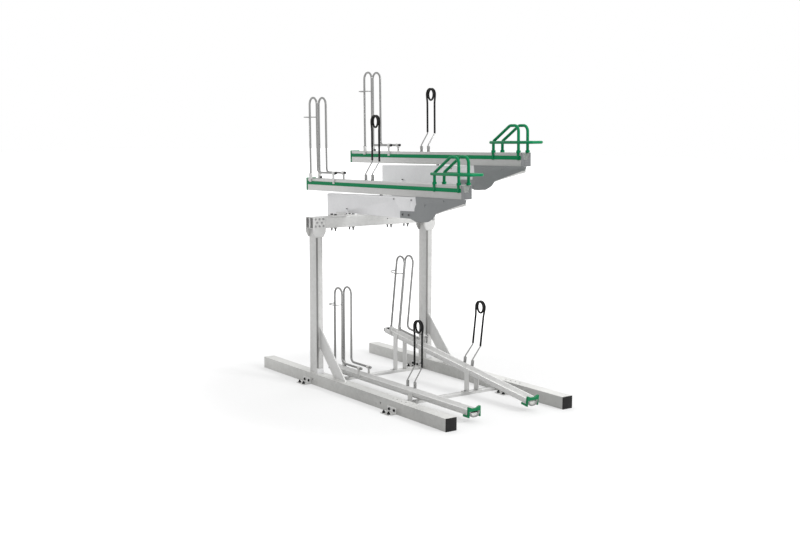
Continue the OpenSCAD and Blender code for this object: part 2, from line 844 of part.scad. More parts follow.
module support_box(side) {
  inner_top = box_top(-box_front) - box_t;
  color(galvanised) lane(side) difference() {
    union() {
      across(box_near, box_w) polygon([
        [-box_front, box_top(-box_front)], [-box_front, -box_drop],
        [box_rear, -box_drop], [box_rear, box_top(box_rear)]
      ]);
      across(box_near, box_w) polygon([
        [post_rear + lug_gap, -box_drop + weld], [post_rear + lug_gap, -box_drop - lug_drop],
        [box_rear, -box_drop - lug_drop], [box_rear, -box_drop + weld]
      ]);
      block([box_near - ear_reach, box_near + weld], [ear_s - ear_w / 2, ear_s + ear_w / 2],
        [-box_drop, -box_drop + ear_h]);
    }
    across(box_near + box_t, box_w - 2 * box_t) polygon([
      [-box_front - cut, inner_top], [-box_front - cut, -box_drop + box_t],
      [box_rear - box_t, -box_drop + box_t], [box_rear - box_t, box_top(box_rear) - box_t]
    ]);
    across(box_near + box_t, box_w - 2 * box_t) polygon([
      [post_rear + lug_gap + box_t, -box_drop], [post_rear + lug_gap + box_t, -box_drop - lug_drop - cut],
      [box_rear - box_t, -box_drop - lug_drop - cut], [box_rear - box_t, -box_drop]
    ]);
    bar_z(-box_drop - cut, -box_drop + ear_h + cut, box_near - ear_reach / 2, ear_s, ear_bolt_d + hole_gap);
    for (p = box_bolt_places)
      bar_x(box_near - cut, box_near + box_t + cut, p[0], p[1], box_bolt_d + hole_gap);
    for (p = bracket_bolt_places)
      bar_x(box_near - cut, box_far + cut, p[0], p[1], box_bolt_d + hole_gap);
  }
}

// Bolts on the boxes: two near the top, two through each hinge bracket and one in the ear
box_bolt_d = 8;
box_head_d = 14;
box_head_h = 5;
ear_bolt_d = 6;
box_bolt_drop = 24;
box_bolt_s = 242;
box_bolt_pitch = 206;
box_bolt_places = [[-box_bolt_s, -box_bolt_drop], [-box_bolt_s - box_bolt_pitch, -box_bolt_drop]];
bracket_bolt_in = 30;
bracket_bolt_pitch = 70;
bracket_bolt_n = -(bracket_top + box_drop) / 2;
bracket_bolt_places = [
  [-bracket_rear - bracket_bolt_in, bracket_bolt_n],
  [-bracket_rear - bracket_bolt_in - bracket_bolt_pitch, bracket_bolt_n]
];

module box_bolts() {
  color(galvanised) for (side = [near, far]) lane(side) {
    for (p = box_bolt_places) {
      bar_x(box_near, box_near + 2 * box_t, p[0], p[1], box_bolt_d);
      bar_x(box_near - box_head_h, box_near, p[0], p[1], box_head_d);
    }
    for (p = bracket_bolt_places) {
      outer_near = box_near - arm_t;
      outer_far = box_far + arm_t;
      bar_x(outer_near, box_near + 2 * box_t, p[0], p[1], box_bolt_d);
      bar_x(box_far - 2 * box_t, outer_far, p[0], p[1], box_bolt_d);
      hex_x(outer_near - box_head_h, outer_near, p[0], p[1], box_head_d);
      hex_x(outer_far, outer_far + box_head_h, p[0], p[1], box_head_d);
    }
    x = box_near - ear_reach / 2;
    bar_z(-box_drop - ear_bolt_d, -box_drop + ear_h, x, ear_s, ear_bolt_d);
    bar_z(-box_drop + ear_h, -box_drop + ear_h + ear_bolt_d, x, ear_s, ear_reach);
  }
}

// Dark brackets that carry the hinge pin in front of each box
module bracket_outline() {
  polygon([
    [-bracket_rear, -bracket_top], [-bracket_rear, -box_drop],
    [-bracket_rear - bracket_low_l, -box_drop], [-pivot_y + bracket_belly_s, -pivot_drop - belly_r],
    [-pivot_y, -pivot_drop - belly_r], [-pivot_y, -pivot_drop],
    [-pivot_y + bracket_neck_s, -bracket_top + bracket_neck_n]
  ]);
  translate([-pivot_y, -pivot_drop]) circle(r = belly_r, $fn = 2 * fine);
}

module hinge_brackets() {
  color(dark_sheet) for (side = [near, far]) lane(side) for (x = [box_near - arm_t, box_far])
    difference() {
      across(x, arm_t) bracket_outline();
      bar_x(x - cut, x + arm_t + cut, -pivot_y, -pivot_drop, pin_d + 2 * run_gap);
      for (p = bracket_bolt_places)
        bar_x(x - cut, x + arm_t + cut, p[0], p[1], box_bolt_d + hole_gap);
    }
}

module pivot_pins() {
  head = box_far + arm_t;
  color(rail_zinc) for (side = [near, far]) lane(side) {
    bar_x(box_near - arm_t, head, -pivot_y, -pivot_drop, pin_d);
    bar_x(head, head + pin_head_t, -pivot_y, -pivot_drop, pin_head_d);
  }
}

// Lift struts inside the boxes: each pushes a pad against the nose of the arm's lever
strut_n = -pivot_drop - lever_l;
strut_front = -pivot_y + strut_gap;

module lift_struts() {
  color(black) for (side = [near, far]) lane(side) {
    difference() {
      bar_y(strut_front, strut_front + strut_l, strut_x, strut_n, strut_d);
      bar_y(strut_front - cut, strut_front + strut_bore_l, strut_x, strut_n, push_d + 2 * run_gap);
    }
    bar_x(box_near + box_t, box_far - box_t, strut_front + strut_l - strut_eye_d, strut_n, strut_eye_d);
  }
}

module push_rod(side) {
  pad = -pivot_y + nose_d / 2 + seat_gap;
  color(rail_zinc) lane(side) {
    bar_y(pad, pad + pad_t, strut_x, strut_n, pad_d);
    bar_y(pad + pad_t - weld, strut_front + rod_in, strut_x, strut_n, push_d);
  }
}

module rest_stops() {
  s0 = -stop_s - stop_l / 2;
  s1 = -stop_s + stop_l / 2;
  color(black) for (side = [near, far]) lane(side) across(box_near + (box_w - stop_w) / 2, stop_w)
    polygon([[s0, box_top(s0)], [s1, box_top(s1)], [s1, -seat_gap], [s0, -seat_gap]]);
}

// Tilt arm: a tapered box section in front of the hinge, cheeks on the pin, a lever under it and a
// blade with an axle and a shoe that reach into the tray
module arm_outline(skin) {
  front = pivot_y + arm_l;
  polygon([
    [-wide_s + (skin > 0 ? cut : 0), -arm_top - skin],
    [-front + skin, -arm_top - skin],
    [-front + arm_tip_back + skin, -arm_top - arm_tip_h + skin],
    [-pivot_y - arm_knee, -arm_low + skin],
    [-wide_s + (skin > 0 ? cut : 0), -arm_low + skin]
  ]);
}

module cheek_outline() {
  polygon([
    [-wide_s - cheek_back, -arm_top - arm_t],
    [-pivot_y - hub_r, -arm_top - arm_t],
    [-pivot_y + hub_long_share * hub_r, -pivot_drop + hub_short_share * hub_r],
    [-pivot_y - hub_short_share * hub_r, -pivot_drop - hub_long_share * hub_r],
    [-wide_s, -arm_low + weld],
    [-wide_s - cheek_back, -arm_low + weld]
  ]);
  translate([-pivot_y, -pivot_drop]) circle(r = hub_r, $fn = 2 * fine);
}

module arm(side) {
  cheek_near = box_near + cheek_gap;
  cheek_far = box_far - cheek_gap;
  tip = -pivot_y - arm_l;
  color(galvanised) lane(side) difference() {
    union() {
      difference() {
        across(arm_near, arm_far - arm_near) arm_outline(0);
        across(arm_near + arm_t, arm_far - arm_near - 2 * arm_t) arm_outline(arm_t);
        translate([0, 0, -arm_low]) linear_extrude(arm_low) polygon([
          [arm_near + arm_t, tip - cut], [arm_far + cut, tip - cut], [arm_far + cut, tip + tip_mitre]
        ]);
      }
      for (x = [cheek_near, cheek_far - cheek_t]) across(x, cheek_t) cheek_outline();
      bar_x(cheek_near, cheek_far, -pivot_y, -pivot_drop, hub_tube_d);
      block([strut_x - lever_t / 2, strut_x + lever_t / 2],
        [-pivot_y - lever_w / 2, -pivot_y + lever_w / 2], [strut_n, -pivot_drop]);
      bar_x(strut_x - nose_w / 2, strut_x + nose_w / 2, -pivot_y, strut_n, nose_d);
      block([-blade_t / 2, blade_t / 2], [-blade_front, -blade_rear], [-arm_top - arm_t, blade_top]);
      bar_x(-axle_end, axle_end, -roller_s, roller_n, axle_d);
      for (x = [-axle_end, axle_end - axle_head_t])
        bar_x(x, x + axle_head_t, -roller_s, roller_n, axle_head_d);
      block([-shoe_w / 2, shoe_w / 2], [-blade_rear - shoe_l, -blade_rear],
        [tray_t + seat_gap, roof - seat_gap]);
    }
    bar_x(cheek_near - cut, cheek_far + cut, -pivot_y, -pivot_drop, pin_d + 2 * run_gap);
  }
}
roller_x = blade_t / 2 + roller_gap;
axle_end = roller_x + roller_w + seat_gap + axle_head_t;

module rollers(side) {
  color(black) lane(side) for (x = [-roller_x - roller_w, roller_x]) difference() {
    bar_x(x, x + roller_w, -roller_s, roller_n, roller_d);
    bar_x(x - cut, x + roller_w + cut, -roller_s, roller_n, axle_d + 2 * run_gap);
  }
}

module arm_cover(side) {
  color(dark_sheet) lane(side) {
    across(cover_x - arm_t, arm_t) polygon([
      for (p = cover_shares) [-cover_front + p[0] * cover_l, cover_top + (p[1] - 1) * cover_h]
    ]);
    for (p = cover_bolt_places)
      bar_x(cover_x - arm_t - cover_bolt_h, cover_x - arm_t + weld, p[0], p[1], cover_bolt_d);
  }
}
cover_low_bolt_s = 49;
cover_low_bolt_n = 52;
cover_top_bolt_s = 256;
cover_top_bolt_n = 18;
cover_bolt_places = [
  [-pivot_y - cover_low_bolt_s, -cover_low_bolt_n], [-pivot_y - cover_top_bolt_s, -cover_top_bolt_n]
];

// Section of an upper tray: a box section with the wheel gutter on top and a slot below
module tray_section() {
  gutter_low = tray_h - gutter_d;
  difference() {
    translate([-half_w, 0]) square([tray_w, tray_h]);
    polygon([
      [-gutter_w / 2, tray_h + cut], [gutter_w / 2, tray_h + cut], [gutter_w / 2, tray_h],
      [gutter_floor_w / 2, gutter_low], [-gutter_floor_w / 2, gutter_low], [-gutter_w / 2, tray_h]
    ]);
    polygon([
      [-half_w + tray_t, tray_t], [half_w - tray_t, tray_t], [half_w - tray_t, tray_h - tray_t],
      [gutter_w / 2 + wall_run - tray_t * gutter_run / gutter_d, tray_h - tray_t],
      [gutter_floor_w / 2 + wall_run - tray_t * gutter_run / gutter_d, gutter_low - tray_t],
      [-gutter_floor_w / 2 - wall_run + tray_t * gutter_run / gutter_d, gutter_low - tray_t],
      [-gutter_w / 2 - wall_run + tray_t * gutter_run / gutter_d, tray_h - tray_t],
      [-half_w + tray_t, tray_h - tray_t]
    ]);
    translate([-slot_w / 2, -cut]) square([slot_w, tray_t + 2 * cut]);
  }
}

function tail(side) = side == far ? far_tail : near_tail;

module upper_tray(side) {
  color(galvanised) lane(side) {
    along(-tray_front, hoop_y + tail(side)) tray_section();
    block([-half_w, half_w], [-tray_front - tray_t, -tray_front + weld], [0, tray_h - gutter_d]);
  }
}

module tray_trim(side) {
  rear = hoop_y + tail(side);
  low = tray_h - strip_drop - strip_h;
  color(signal_green) lane(side) {
    for (x = [-half_w - strip_t, half_w])
      block([x, x + strip_t], [-tray_front, rear], [low, low + strip_h]);
    for (x = [-half_w - strip_t, half_w])
      block([x, x + strip_t], [rear - rear_cap_wrap, rear + weld], [0, tray_h]);
    block([-half_w - strip_t, half_w + strip_t], [rear, rear + rear_cap_t], [0, tray_h + rear_cap_rise]);
  }
}

// Section of a lower tray: a shallow gutter over a round bottomed body, with skirts under the lips
module low_body(w, h, r) {
  intersection() {
    translate([-w / 2, 0]) square([w, h]);
    union() {
      translate([-w / 2, r]) square([w, h]);
      translate([-w / 2 + r, 0]) square([w - 2 * r, h]);
      for (x = [-w / 2 + r, w / 2 - r]) translate([x, r]) circle(r = r, $fn = fine);
    }
  }
}

module low_gutter() {
  polygon([
    [-gutter_w / 2, low_h + cut], [gutter_w / 2, low_h + cut], [gutter_w / 2, low_h],
    [low_floor_w / 2, low_h - low_gutter_d], [-low_floor_w / 2, low_h - low_gutter_d],
    [-gutter_w / 2, low_h]
  ]);
}

module low_gutter_shell() {
  shift = low_wall_run - tray_t * low_run / low_gutter_d;
  floor_n = low_h - low_gutter_d - tray_t;
  polygon([
    [-gutter_w / 2 - low_wall_run, low_h], [gutter_w / 2 + low_wall_run, low_h],
    [low_floor_w / 2 + shift, floor_n], [-low_floor_w / 2 - shift, floor_n]
  ]);
}

module low_section() {
  difference() {
    union() {
      low_body(low_body_w, low_h - tray_t, low_r);
      translate([-half_w, low_h - skirt_h]) square([tray_w, skirt_h]);
    }
    low_gutter();
    difference() {
      translate([0, tray_t]) low_body(low_body_w - 2 * tray_t, low_h - 2 * tray_t, low_r - tray_t);
      low_gutter_shell();
    }
    for (x = [-half_w + tray_t, low_body_w / 2])
      translate([x, low_h - skirt_h - cut])
        square([half_w - tray_t - low_body_w / 2, skirt_h + cut - tray_t]);
  }
}

module low_rim() {
  difference() {
    low_body(tray_w, low_h - rim_top_gap, low_r);
    translate([0, rim_base]) low_body(tray_w - 2 * rim_side, low_h, rim_r);
  }
}

module lower_tray(side) {
  color(galvanised) low_lane(side) {
    along(0, low_l) low_section();
    along(-rim_l, weld) low_rim();
  }
}

// Green caps on the lower trays' front ends: a sagging saddle with an arm and a foot on each side
module cap_saddle() {
  top = low_h + cap_rise;
  base = low_h - rim_top_gap;
  difference() {
    translate([-half_w - arm_w, base]) square([tray_w + 2 * arm_w, top - base]);
    polygon([
      [-half_w, top + cut], [half_w, top + cut], [half_w, top],
      [low_floor_w / 2, top - cap_sag], [-low_floor_w / 2, top - cap_sag], [-half_w, top]
    ]);
  }
}

module low_end_caps() {
  color(signal_green) for (side = [near, far]) low_lane(side) {
    along(-green_t, 0) cap_saddle();
    for (i = [-1, 1]) mirror([i > 0 ? 0 : 1, 0, 0]) {
      block([half_w, half_w + arm_w], [-green_t, weld], [0, low_h]);
      block([half_w, half_w + arm_w], [0, cap_foot], [0, cap_foot_h]);
    }
  }
}

module low_end_trims() {
  color(black) for (side = [near, far]) low_lane(side)
    along(low_l, low_l + trim_t) union() {
      low_body(low_body_w, low_h - tray_t, low_r);
      translate([-half_w, low_h - skirt_h]) square([tray_w, skirt_h]);
    }
}

// Upright flat bars with feet that carry the lower trays on the crossbars
support_bolt_x = half_w + support_t + support_foot / 2;
function low_tray_z(side, y) =
  (side == far ? sloped_z : low_z) + (side == far ? (y + low_front) * tan(low_slope) : 0);

module tray_supports() {
  color(galvanised) for (side = [near, far], y = [rear_cross_y, -front_cross_y], i = [-1, 1])
    translate([lane_x(side), y, 0]) mirror([i > 0 ? 0 : 1, 0, 0]) difference() {
      union() {
        block([half_w, half_w + support_t], [-cross_w / 2, cross_w / 2],
          [cross_t, low_tray_z(side, y) + support_rise]);
        block([half_w, half_w + support_t + support_foot], [-cross_w / 2, cross_w / 2],
          [cross_t, cross_t + support_t]);
      }
      bar_z(cross_t - cut, cross_t + support_t + cut, support_bolt_x, 0, support_bolt_d + hole_gap);
    }
}

// Wheel hoops: two inverted U tubes whose front leg bends into a level rod, and a lock loop.
// s is the place of the rear legs and n the height of the lip.
module hoops(s, n, loop_n) {
  top = hoop_h - hoop_d / 2;
  for (i = [-1, 1]) upright_run(i * leg_x, [
    [s, n], [s, n + top], [s - hoop_span, n + top], [s - hoop_span, n + rod_h], [s - rod_l, n + rod_h]
  ], [hoop_bend, hoop_bend, rod_bend], hoop_d);
  translate([0, 0, n + loop_n]) tube_run([
    [-leg_x, s], [-leg_x - loop_reach, s], [-leg_x - loop_reach, s - hoop_span], [-leg_x, s - hoop_span]
  ], [loop_bend, loop_bend], loop_d);
}

// A plate on the tray's side at |x| = face and a sleeve round an upright leg on the lip
module leg_clamp(i, s, n, d, face, plate_w, drop, rise) {
  mirror([i > 0 ? 0 : 1, 0, 0]) difference() {
    union() {
      block([face, face + clamp_plate_t], [s - plate_w / 2, s + plate_w / 2], [n - drop, n + rise]);
      bar_z(n, n + rise, leg_x, s, d + 2 * sleeve_wall);
      bar_x(face, face + clamp_plate_t + fit_bolt_h, s, n - drop + fit_bolt_d, fit_bolt_d);
    }
    bar_z(n - seat_gap, n + rise + cut, leg_x, s, d + 2 * sleeve_gap);
  }
}

// A strap from the tray's side up to the hoop's level rod
module rod_clamp(i, s, n, face) {
  mirror([i > 0 ? 0 : 1, 0, 0]) difference() {
    union() {
      block([face, face + clamp_plate_t], [s - rod_plate_w / 2, s + rod_plate_w / 2],
        [n - rod_plate_drop, n + rod_h]);
      bar_y(s - rod_plate_w / 2, s + rod_plate_w / 2, leg_x, n + rod_h, hoop_d + 2 * sleeve_wall);
      bar_x(face, face + clamp_plate_t + fit_bolt_h, s, n - rod_plate_drop + fit_bolt_d, fit_bolt_d);
    }
    bar_y(s - rod_plate_w, s + rod_plate_w, leg_x, n + rod_h, hoop_d + 2 * sleeve_gap);
  }
}

// All brackets of a tray: hoop legs, level rods and the feet of the sprung holder
module fittings(s, n, holder_s, face) {
  for (i = [-1, 1]) {
    leg_clamp(i, s, n, hoop_d, face, hoop_plate_w, hoop_plate_drop, sleeve_h);
    rod_clamp(i, s - rod_l + bracket_in, n, face);
  }
  for (i = [-1, 1])
    leg_clamp(1, holder_s + i * foot_span / 2, n, wire_d, face, holder_plate_w, hoop_plate_drop,
      holder_sleeve_h);
}

module knobs(s, n) {
  for (i = [-1, 1])
    translate([i * leg_x, s - rod_l, n + rod_h]) rotate([90, 0, 0]) {
      cylinder(d = knob_d, h = knob_l - knob_d / 4, $fn = fine);
      translate([0, 0, knob_l - knob_d / 4])
        cylinder(d1 = knob_d, d2 = knob_d / 2, h = knob_d / 4, $fn = fine);
    }
  seat = s - hoop_plate_w / 2;
  bar_y(seat - foot_knob_l, seat, leg_x, n + foot_knob_h, foot_knob_d);
}

// Centre points of the sprung holder's wire, foot to foot, for a holder at place 0 with its lip at 0.
// Both kinks are rounded by three points each. Below the coil a leg flares out to the coil's side.
function lean_points(x, foot, s, coil_side) =
  let (lean = [x - leg_x, s - foot, lean_high - lean_low], way = lean / norm(lean))
  [
    [leg_x, foot, 0],
    [leg_x, foot, lean_low - lean_round],
    [leg_x, foot, lean_low] + lean_round * (way - [0, 0, 1]) / 4,
    [leg_x, foot, lean_low] + lean_round * way,
    [x, s, lean_high] - lean_round * way,
    [x, s, lean_high] + lean_round * ([0, 0, 1] - way) / 4,
    [x, s, lean_high + lean_round - coat_step],
    [x, s, coat_low],
    [x, s, coat_low + coat_step],
    for (u = flare_steps) [x, s + (coil_side - s) * u * u * (3 - 2 * u), coil_h - flare_h * (1 - u)]
  ];
function reversed(list) = [for (i = [len(list) - 1:-1:0]) list[i]];
// Place of the coil across the lane: it steps over by one pitch in the lower half of each turn
function coil_x(turn) =
  let (u = max(2 * (turn - floor(turn)) - 1, 0))
  holder_x - coil_shift + coil_pitch * (floor(turn) + u * u * (3 - 2 * u));
coil_steps = loop_rings * coil_turns;
coil_points = [
  for (i = [0:coil_steps])
    let (angle = 360 * i / loop_rings)
    [coil_x(i / loop_rings), coil_r * cos(angle), coil_h + coil_r * sin(angle)]
];
wire_path = concat(
  lean_points(holder_x - coil_shift, foot_span / 2, leg_span / 2, coil_r),
  coil_points,
  reversed(lean_points(holder_x + coil_shift, -foot_span / 2, -leg_span / 2, -coil_r))
);
wire_gap = min([
  for (i = [0:len(coil_points) - 1], j = [i:len(coil_points) - 1])
    if (j - i > loop_rings / 2) norm(coil_points[i] - coil_points[j])
]) - coat_d;
echo(least_gap_of_the_coil_to_itself = wire_gap);

// A round tube along points, each ring of the given radius
module swept_wire(points, sides) {
  last = len(points) - 1;
  rings = [
    for (i = [0:last])
      let (
        ahead = points[min(i + 1, last)] - points[max(i - 1, 0)],
        t = ahead / norm(ahead),
        across_t = [1, 0, 0] - t[0] * t,
        u = across_t / norm(across_t),
        v = cross(t, u),
        r = points[i][2] <= coat_low ? wire_d / 2 : coat_d / 2
      )
      for (k = [0:sides - 1]) points[i] + r * (cos(360 * k / sides) * u + sin(360 * k / sides) * v)
  ];
  faces = concat(
    [for (i = [1:sides - 2]) [0, i, i + 1]],
    [for (i = [1:sides - 2]) [last * sides, last * sides + i + 1, last * sides + i]],
    [
      for (i = [0:last - 1], k = [0:sides - 1])
        [i * sides + k, (i + 1) * sides + k, i * sides + (k + 1) % sides]
    ],
    [
      for (i = [0:last - 1], k = [0:sides - 1])
        [i * sides + (k + 1) % sides, (i + 1) * sides + k, (i + 1) * sides + (k + 1) % sides]
    ]
  );
  polyhedron(points = rings, faces = faces);
}

module sprung_holder(s, n) {
  translate([0, s, n]) swept_wire(wire_path, wire_sides);
}

// Green pull handle: two arched frames on the lips, a level loop round them, and side clamps
module handle(side) {
  n = tray_h;
  top = n + handle_h - handle_d / 2;
  slant = (handle_front - handle_rear) * 2 / 3;
  face = half_w + strip_t;
  color(signal_green) lane(side) {
    union() {
      for (i = [-1, 1]) upright_run(i * leg_x, [
        [-handle_rear, n], [-handle_rear, n + handle_low], [-handle_rear - slant, top],
        [-handle_front, top], [-handle_front, n]
      ], [handle_knee, handle_bend, handle_bend], handle_d);
      translate([0, 0, n + handle_loop_h]) tube_run([
        [loop_rod_x, -handle_rear + handle_d / 2], [loop_rod_x, -handle_front - handle_reach],
        [-loop_rod_x, -handle_front - handle_reach], [-loop_rod_x, -handle_rear + handle_d / 2]
      ], [handle_corner, handle_corner], handle_d);
    }
    for (i = [-1, 1], s = [-handle_rear, -handle_front])
      leg_clamp(i, s, n, handle_d, face, handle_plate_w, handle_plate_drop, handle_sleeve_h);
  }
}

// The pieces on each tray
strip_face = half_w + strip_t;
module upper_hoops(side) {
  color(galvanised) lane(side) hoops(hoop_y, tray_h, loop_h);
}

module upper_fittings(side) {
  color(galvanised) lane(side) fittings(hoop_y, tray_h, hoop_y - holder_back, strip_face);
}

module upper_knobs(side) {
  color(black) lane(side) knobs(hoop_y, tray_h);
}

module upper_spring(side) {
  color(black) lane(side) sprung_holder(hoop_y - holder_back, tray_h);
}

module lower_hoops(side) {
  color(galvanised) low_lane(side) hoops(low_hoop_s, low_h, low_loop_h);
}

module low_fittings() {
  color(galvanised) for (side = [near, far]) low_lane(side)
    fittings(low_hoop_s, low_h, low_hoop_s - low_holder_back, half_w);
}

module low_knobs() {
  color(black) for (side = [near, far]) low_lane(side) knobs(low_hoop_s, low_h);
}

module low_springs() {
  color(black) for (side = [near, far]) low_lane(side)
    sprung_holder(low_hoop_s - low_holder_back, low_h);
}

rail(near);  // near_rail
rail(far);  // far_rail
front_rail_caps();
rear_rail_caps();
crossbar(rear_cross_y);  // rear_crossbar
crossbar(-front_cross_y);  // front_crossbar
floor_brackets();
floor_bolts();
base_bolts();
post(near);  // near_post
post(far);  // far_post
brace(near);  // near_brace
brace(far);  // far_brace
post_feet();
head_plates();
head_bolts();
crossbeam();
clamp_plates();
clamp_bolts();
far_riser();
support_box(near);  // near_box
support_box(far);  // far_box
box_bolts();
hinge_brackets();
pivot_pins();
lift_struts();
rest_stops();
lower_tray(near);  // low_tray
lower_tray(far);  // sloped_tray
low_end_caps();
low_end_trims();
lower_hoops(near);  // low_hoops
lower_hoops(far);  // sloped_hoops
low_fittings();
low_knobs();
low_springs();
tray_supports();
arm(near);  // near_arm
arm_cover(near);  // near_arm_cover
rollers(near);  // near_rollers
push_rod(near);  // near_push_rod
upper_tray(near);  // near_tray
tray_trim(near);  // near_tray_trim
upper_hoops(near);  // near_hoops
upper_fittings(near);  // near_fittings
upper_knobs(near);  // near_knobs
upper_spring(near);  // near_spring
handle(near);  // near_handle
arm(far);  // far_arm
arm_cover(far);  // far_arm_cover
rollers(far);  // far_rollers
push_rod(far);  // far_push_rod
upper_tray(far);  // far_tray
tray_trim(far);  // far_tray_trim
upper_hoops(far);  // far_hoops
upper_fittings(far);  // far_fittings
upper_knobs(far);  // far_knobs
upper_spring(far);  // far_spring
handle(far);  // far_handle
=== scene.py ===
"""Looks of the two tier bike rack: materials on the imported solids, and finer pieces where detail shows."""
from math import sin, cos, tan, atan2, hypot, pi, radians

import bpy
import bmesh
from mathutils import Vector, Matrix


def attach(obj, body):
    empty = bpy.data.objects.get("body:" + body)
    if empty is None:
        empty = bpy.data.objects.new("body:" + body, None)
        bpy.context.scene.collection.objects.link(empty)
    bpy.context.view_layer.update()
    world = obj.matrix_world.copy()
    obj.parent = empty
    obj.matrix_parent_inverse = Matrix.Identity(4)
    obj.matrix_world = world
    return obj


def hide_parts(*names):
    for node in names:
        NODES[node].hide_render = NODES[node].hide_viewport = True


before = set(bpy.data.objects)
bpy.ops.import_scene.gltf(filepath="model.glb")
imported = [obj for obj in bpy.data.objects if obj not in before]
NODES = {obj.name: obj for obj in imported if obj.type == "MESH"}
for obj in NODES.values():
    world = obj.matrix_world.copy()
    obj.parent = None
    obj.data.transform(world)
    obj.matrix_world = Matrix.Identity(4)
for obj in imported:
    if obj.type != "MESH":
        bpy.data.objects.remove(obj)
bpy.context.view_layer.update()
MM = 0.001

# Places in millimetres, shared with the solids: x across the rack, y to the rear and z up.
# In a lane, s runs along the tray to the rear and n is square to it.
NEAR, FAR = -1, 1
SIDES = ((NEAR, "near"), (FAR, "far"))
RAIL_X, RAIL_TOP = 500, 86
LANE_X, FAR_RISE = 250, 200
POST_FRONT, POST_Y, POST_REAR, POST_HALF = 399, 448, 497, 27
BEAM_LOW, BEAM_TOP, CLAMP_T, PLATE_T = 1160, 1242, 8, 5
CLAMP_TOP = BEAM_TOP + CLAMP_T

# Upper lanes: the tray's slope and lip, the box below it, what stands on it and its length behind the hoop
TRAY_SLOPE = radians(1.0)
LIP = 90
BOX_Z, BOX_DROP = 1267, 150
BOX_NEAR, BOX_FAR = -40, 4
HOOP_S, HOLDER_S = 859, 178
TAILS = {NEAR: 59, FAR: 206}

# Lower lanes
LOW_SLOPE = radians(7.9)
LOW_FRONT, LOW_LIP = -1085, 50
LOW_Z = {NEAR: 38, FAR: 43}
LOW_HOOP_S, LOW_HOLDER_S = 1611, 739


def lane(side):
    """Frame of an upper lane: x across, s along the tray to the rear, n square to it."""
    z = BOX_Z + BOX_DROP / cos(TRAY_SLOPE) + POST_Y * tan(TRAY_SLOPE) + (FAR_RISE if side == FAR else 0)
    return Matrix.Translation(Vector((side * LANE_X, 0, z)) * MM) @ Matrix.Rotation(-TRAY_SLOPE, 4, "X")


def low_lane(side):
    """Frame of a lower lane: s starts at the tray's front end."""
    start = Vector((side * LANE_X, LOW_FRONT, LOW_Z[side])) * MM
    return Matrix.Translation(start) @ Matrix.Rotation(LOW_SLOPE if side == FAR else 0, 4, "X")


# Materials: small helpers for their node trees
def new_material(name):
    m = bpy.data.materials.new(name)
    m.use_nodes = True
    return m, m.node_tree, m.node_tree.nodes["Principled BSDF"]


def node(t, kind, **values):
    n = t.nodes.new(kind)
    for key, v in values.items():
        setattr(n, key, v)
    return n


def own_place(t):
    """Object coordinates, which stay on the piece as it moves."""
    return node(t, "ShaderNodeTexCoord").outputs["Object"]


def noise(t, vector, scale, detail=3.0, rough=0.55):
    n = node(t, "ShaderNodeTexNoise")
    n.inputs["Scale"].default_value = scale
    n.inputs["Detail"].default_value = detail
    n.inputs["Roughness"].default_value = rough
    t.links.new(vector, n.inputs["Vector"])
    return n.outputs["Fac"]


def ramp(t, source, stops):
    """stops is a list of (position, colour or grey)."""
    r = node(t, "ShaderNodeValToRGB")
    while len(r.color_ramp.elements) < len(stops):
        r.color_ramp.elements.new(0.5)
    for e, (at, c) in zip(r.color_ramp.elements, stops):
        e.position = at
        e.color = (*c, 1) if isinstance(c, tuple) else (c, c, c, 1)
    t.links.new(source, r.inputs["Fac"])
    return r.outputs["Color"]


def feed(t, socket, value):
    """Sets a socket to a number or a colour, or links it to another socket."""
    if isinstance(value, (int, float)):
        socket.default_value = value
    elif isinstance(value, tuple):
        socket.default_value = (*value, 1)
    else:
        t.links.new(value, socket)


def mix(t, kind, share, a, b):
    """Colour mix. Its sockets go by number, because the number and vector kinds share their names."""
    n = node(t, "ShaderNodeMix", data_type="RGBA", blend_type=kind)
    for number, value in ((0, share), (6, a), (7, b)):
        feed(t, n.inputs[number], value)
    return n.outputs[2]


def arith(t, kind, a, b):
    n = node(t, "ShaderNodeMath", operation=kind)
    feed(t, n.inputs[0], a)
    feed(t, n.inputs[1], b)
    return n.outputs["Value"]


def map_range(t, source, from_min, from_max, to_min, to_max, **values):
    n = node(t, "ShaderNodeMapRange", **values)
    for socket, v in (("From Min", from_min), ("From Max", from_max), ("To Min", to_min), ("To Max", to_max)):
        n.inputs[socket].default_value = v
    t.links.new(source, n.inputs["Value"])
    return n.outputs["Result"]


def bump(t, shader, height, strength, distance):
    b = node(t, "ShaderNodeBump")
    b.inputs["Strength"].default_value = strength
    b.inputs["Distance"].default_value = distance
    t.links.new(height, b.inputs["Height"])
    t.links.new(b.outputs["Normal"], shader.inputs["Normal"])


def painted_side_shade(t, front_y, front_share, rear_y, rear_share):
    """Painted shade on the sides: how square a face stands to x, and the share of its colour that it keeps at
    its place along y.
    """
    coords = node(t, "ShaderNodeTexCoord")
    at, way = node(t, "ShaderNodeSeparateXYZ"), node(t, "ShaderNodeSeparateXYZ")
    t.links.new(coords.outputs["Object"], at.inputs["Vector"])
    t.links.new(coords.outputs["Normal"], way.inputs["Vector"])
    painted_shade_share = map_range(t, at.outputs["Y"], front_y, rear_y, front_share, rear_share)
    squareness = arith(t, "POWER", arith(t, "ABSOLUTE", way.outputs["X"], 0.0), 2.0)
    return squareness, mix(t, "MIX", painted_shade_share, (0, 0, 0), (1, 1, 1))


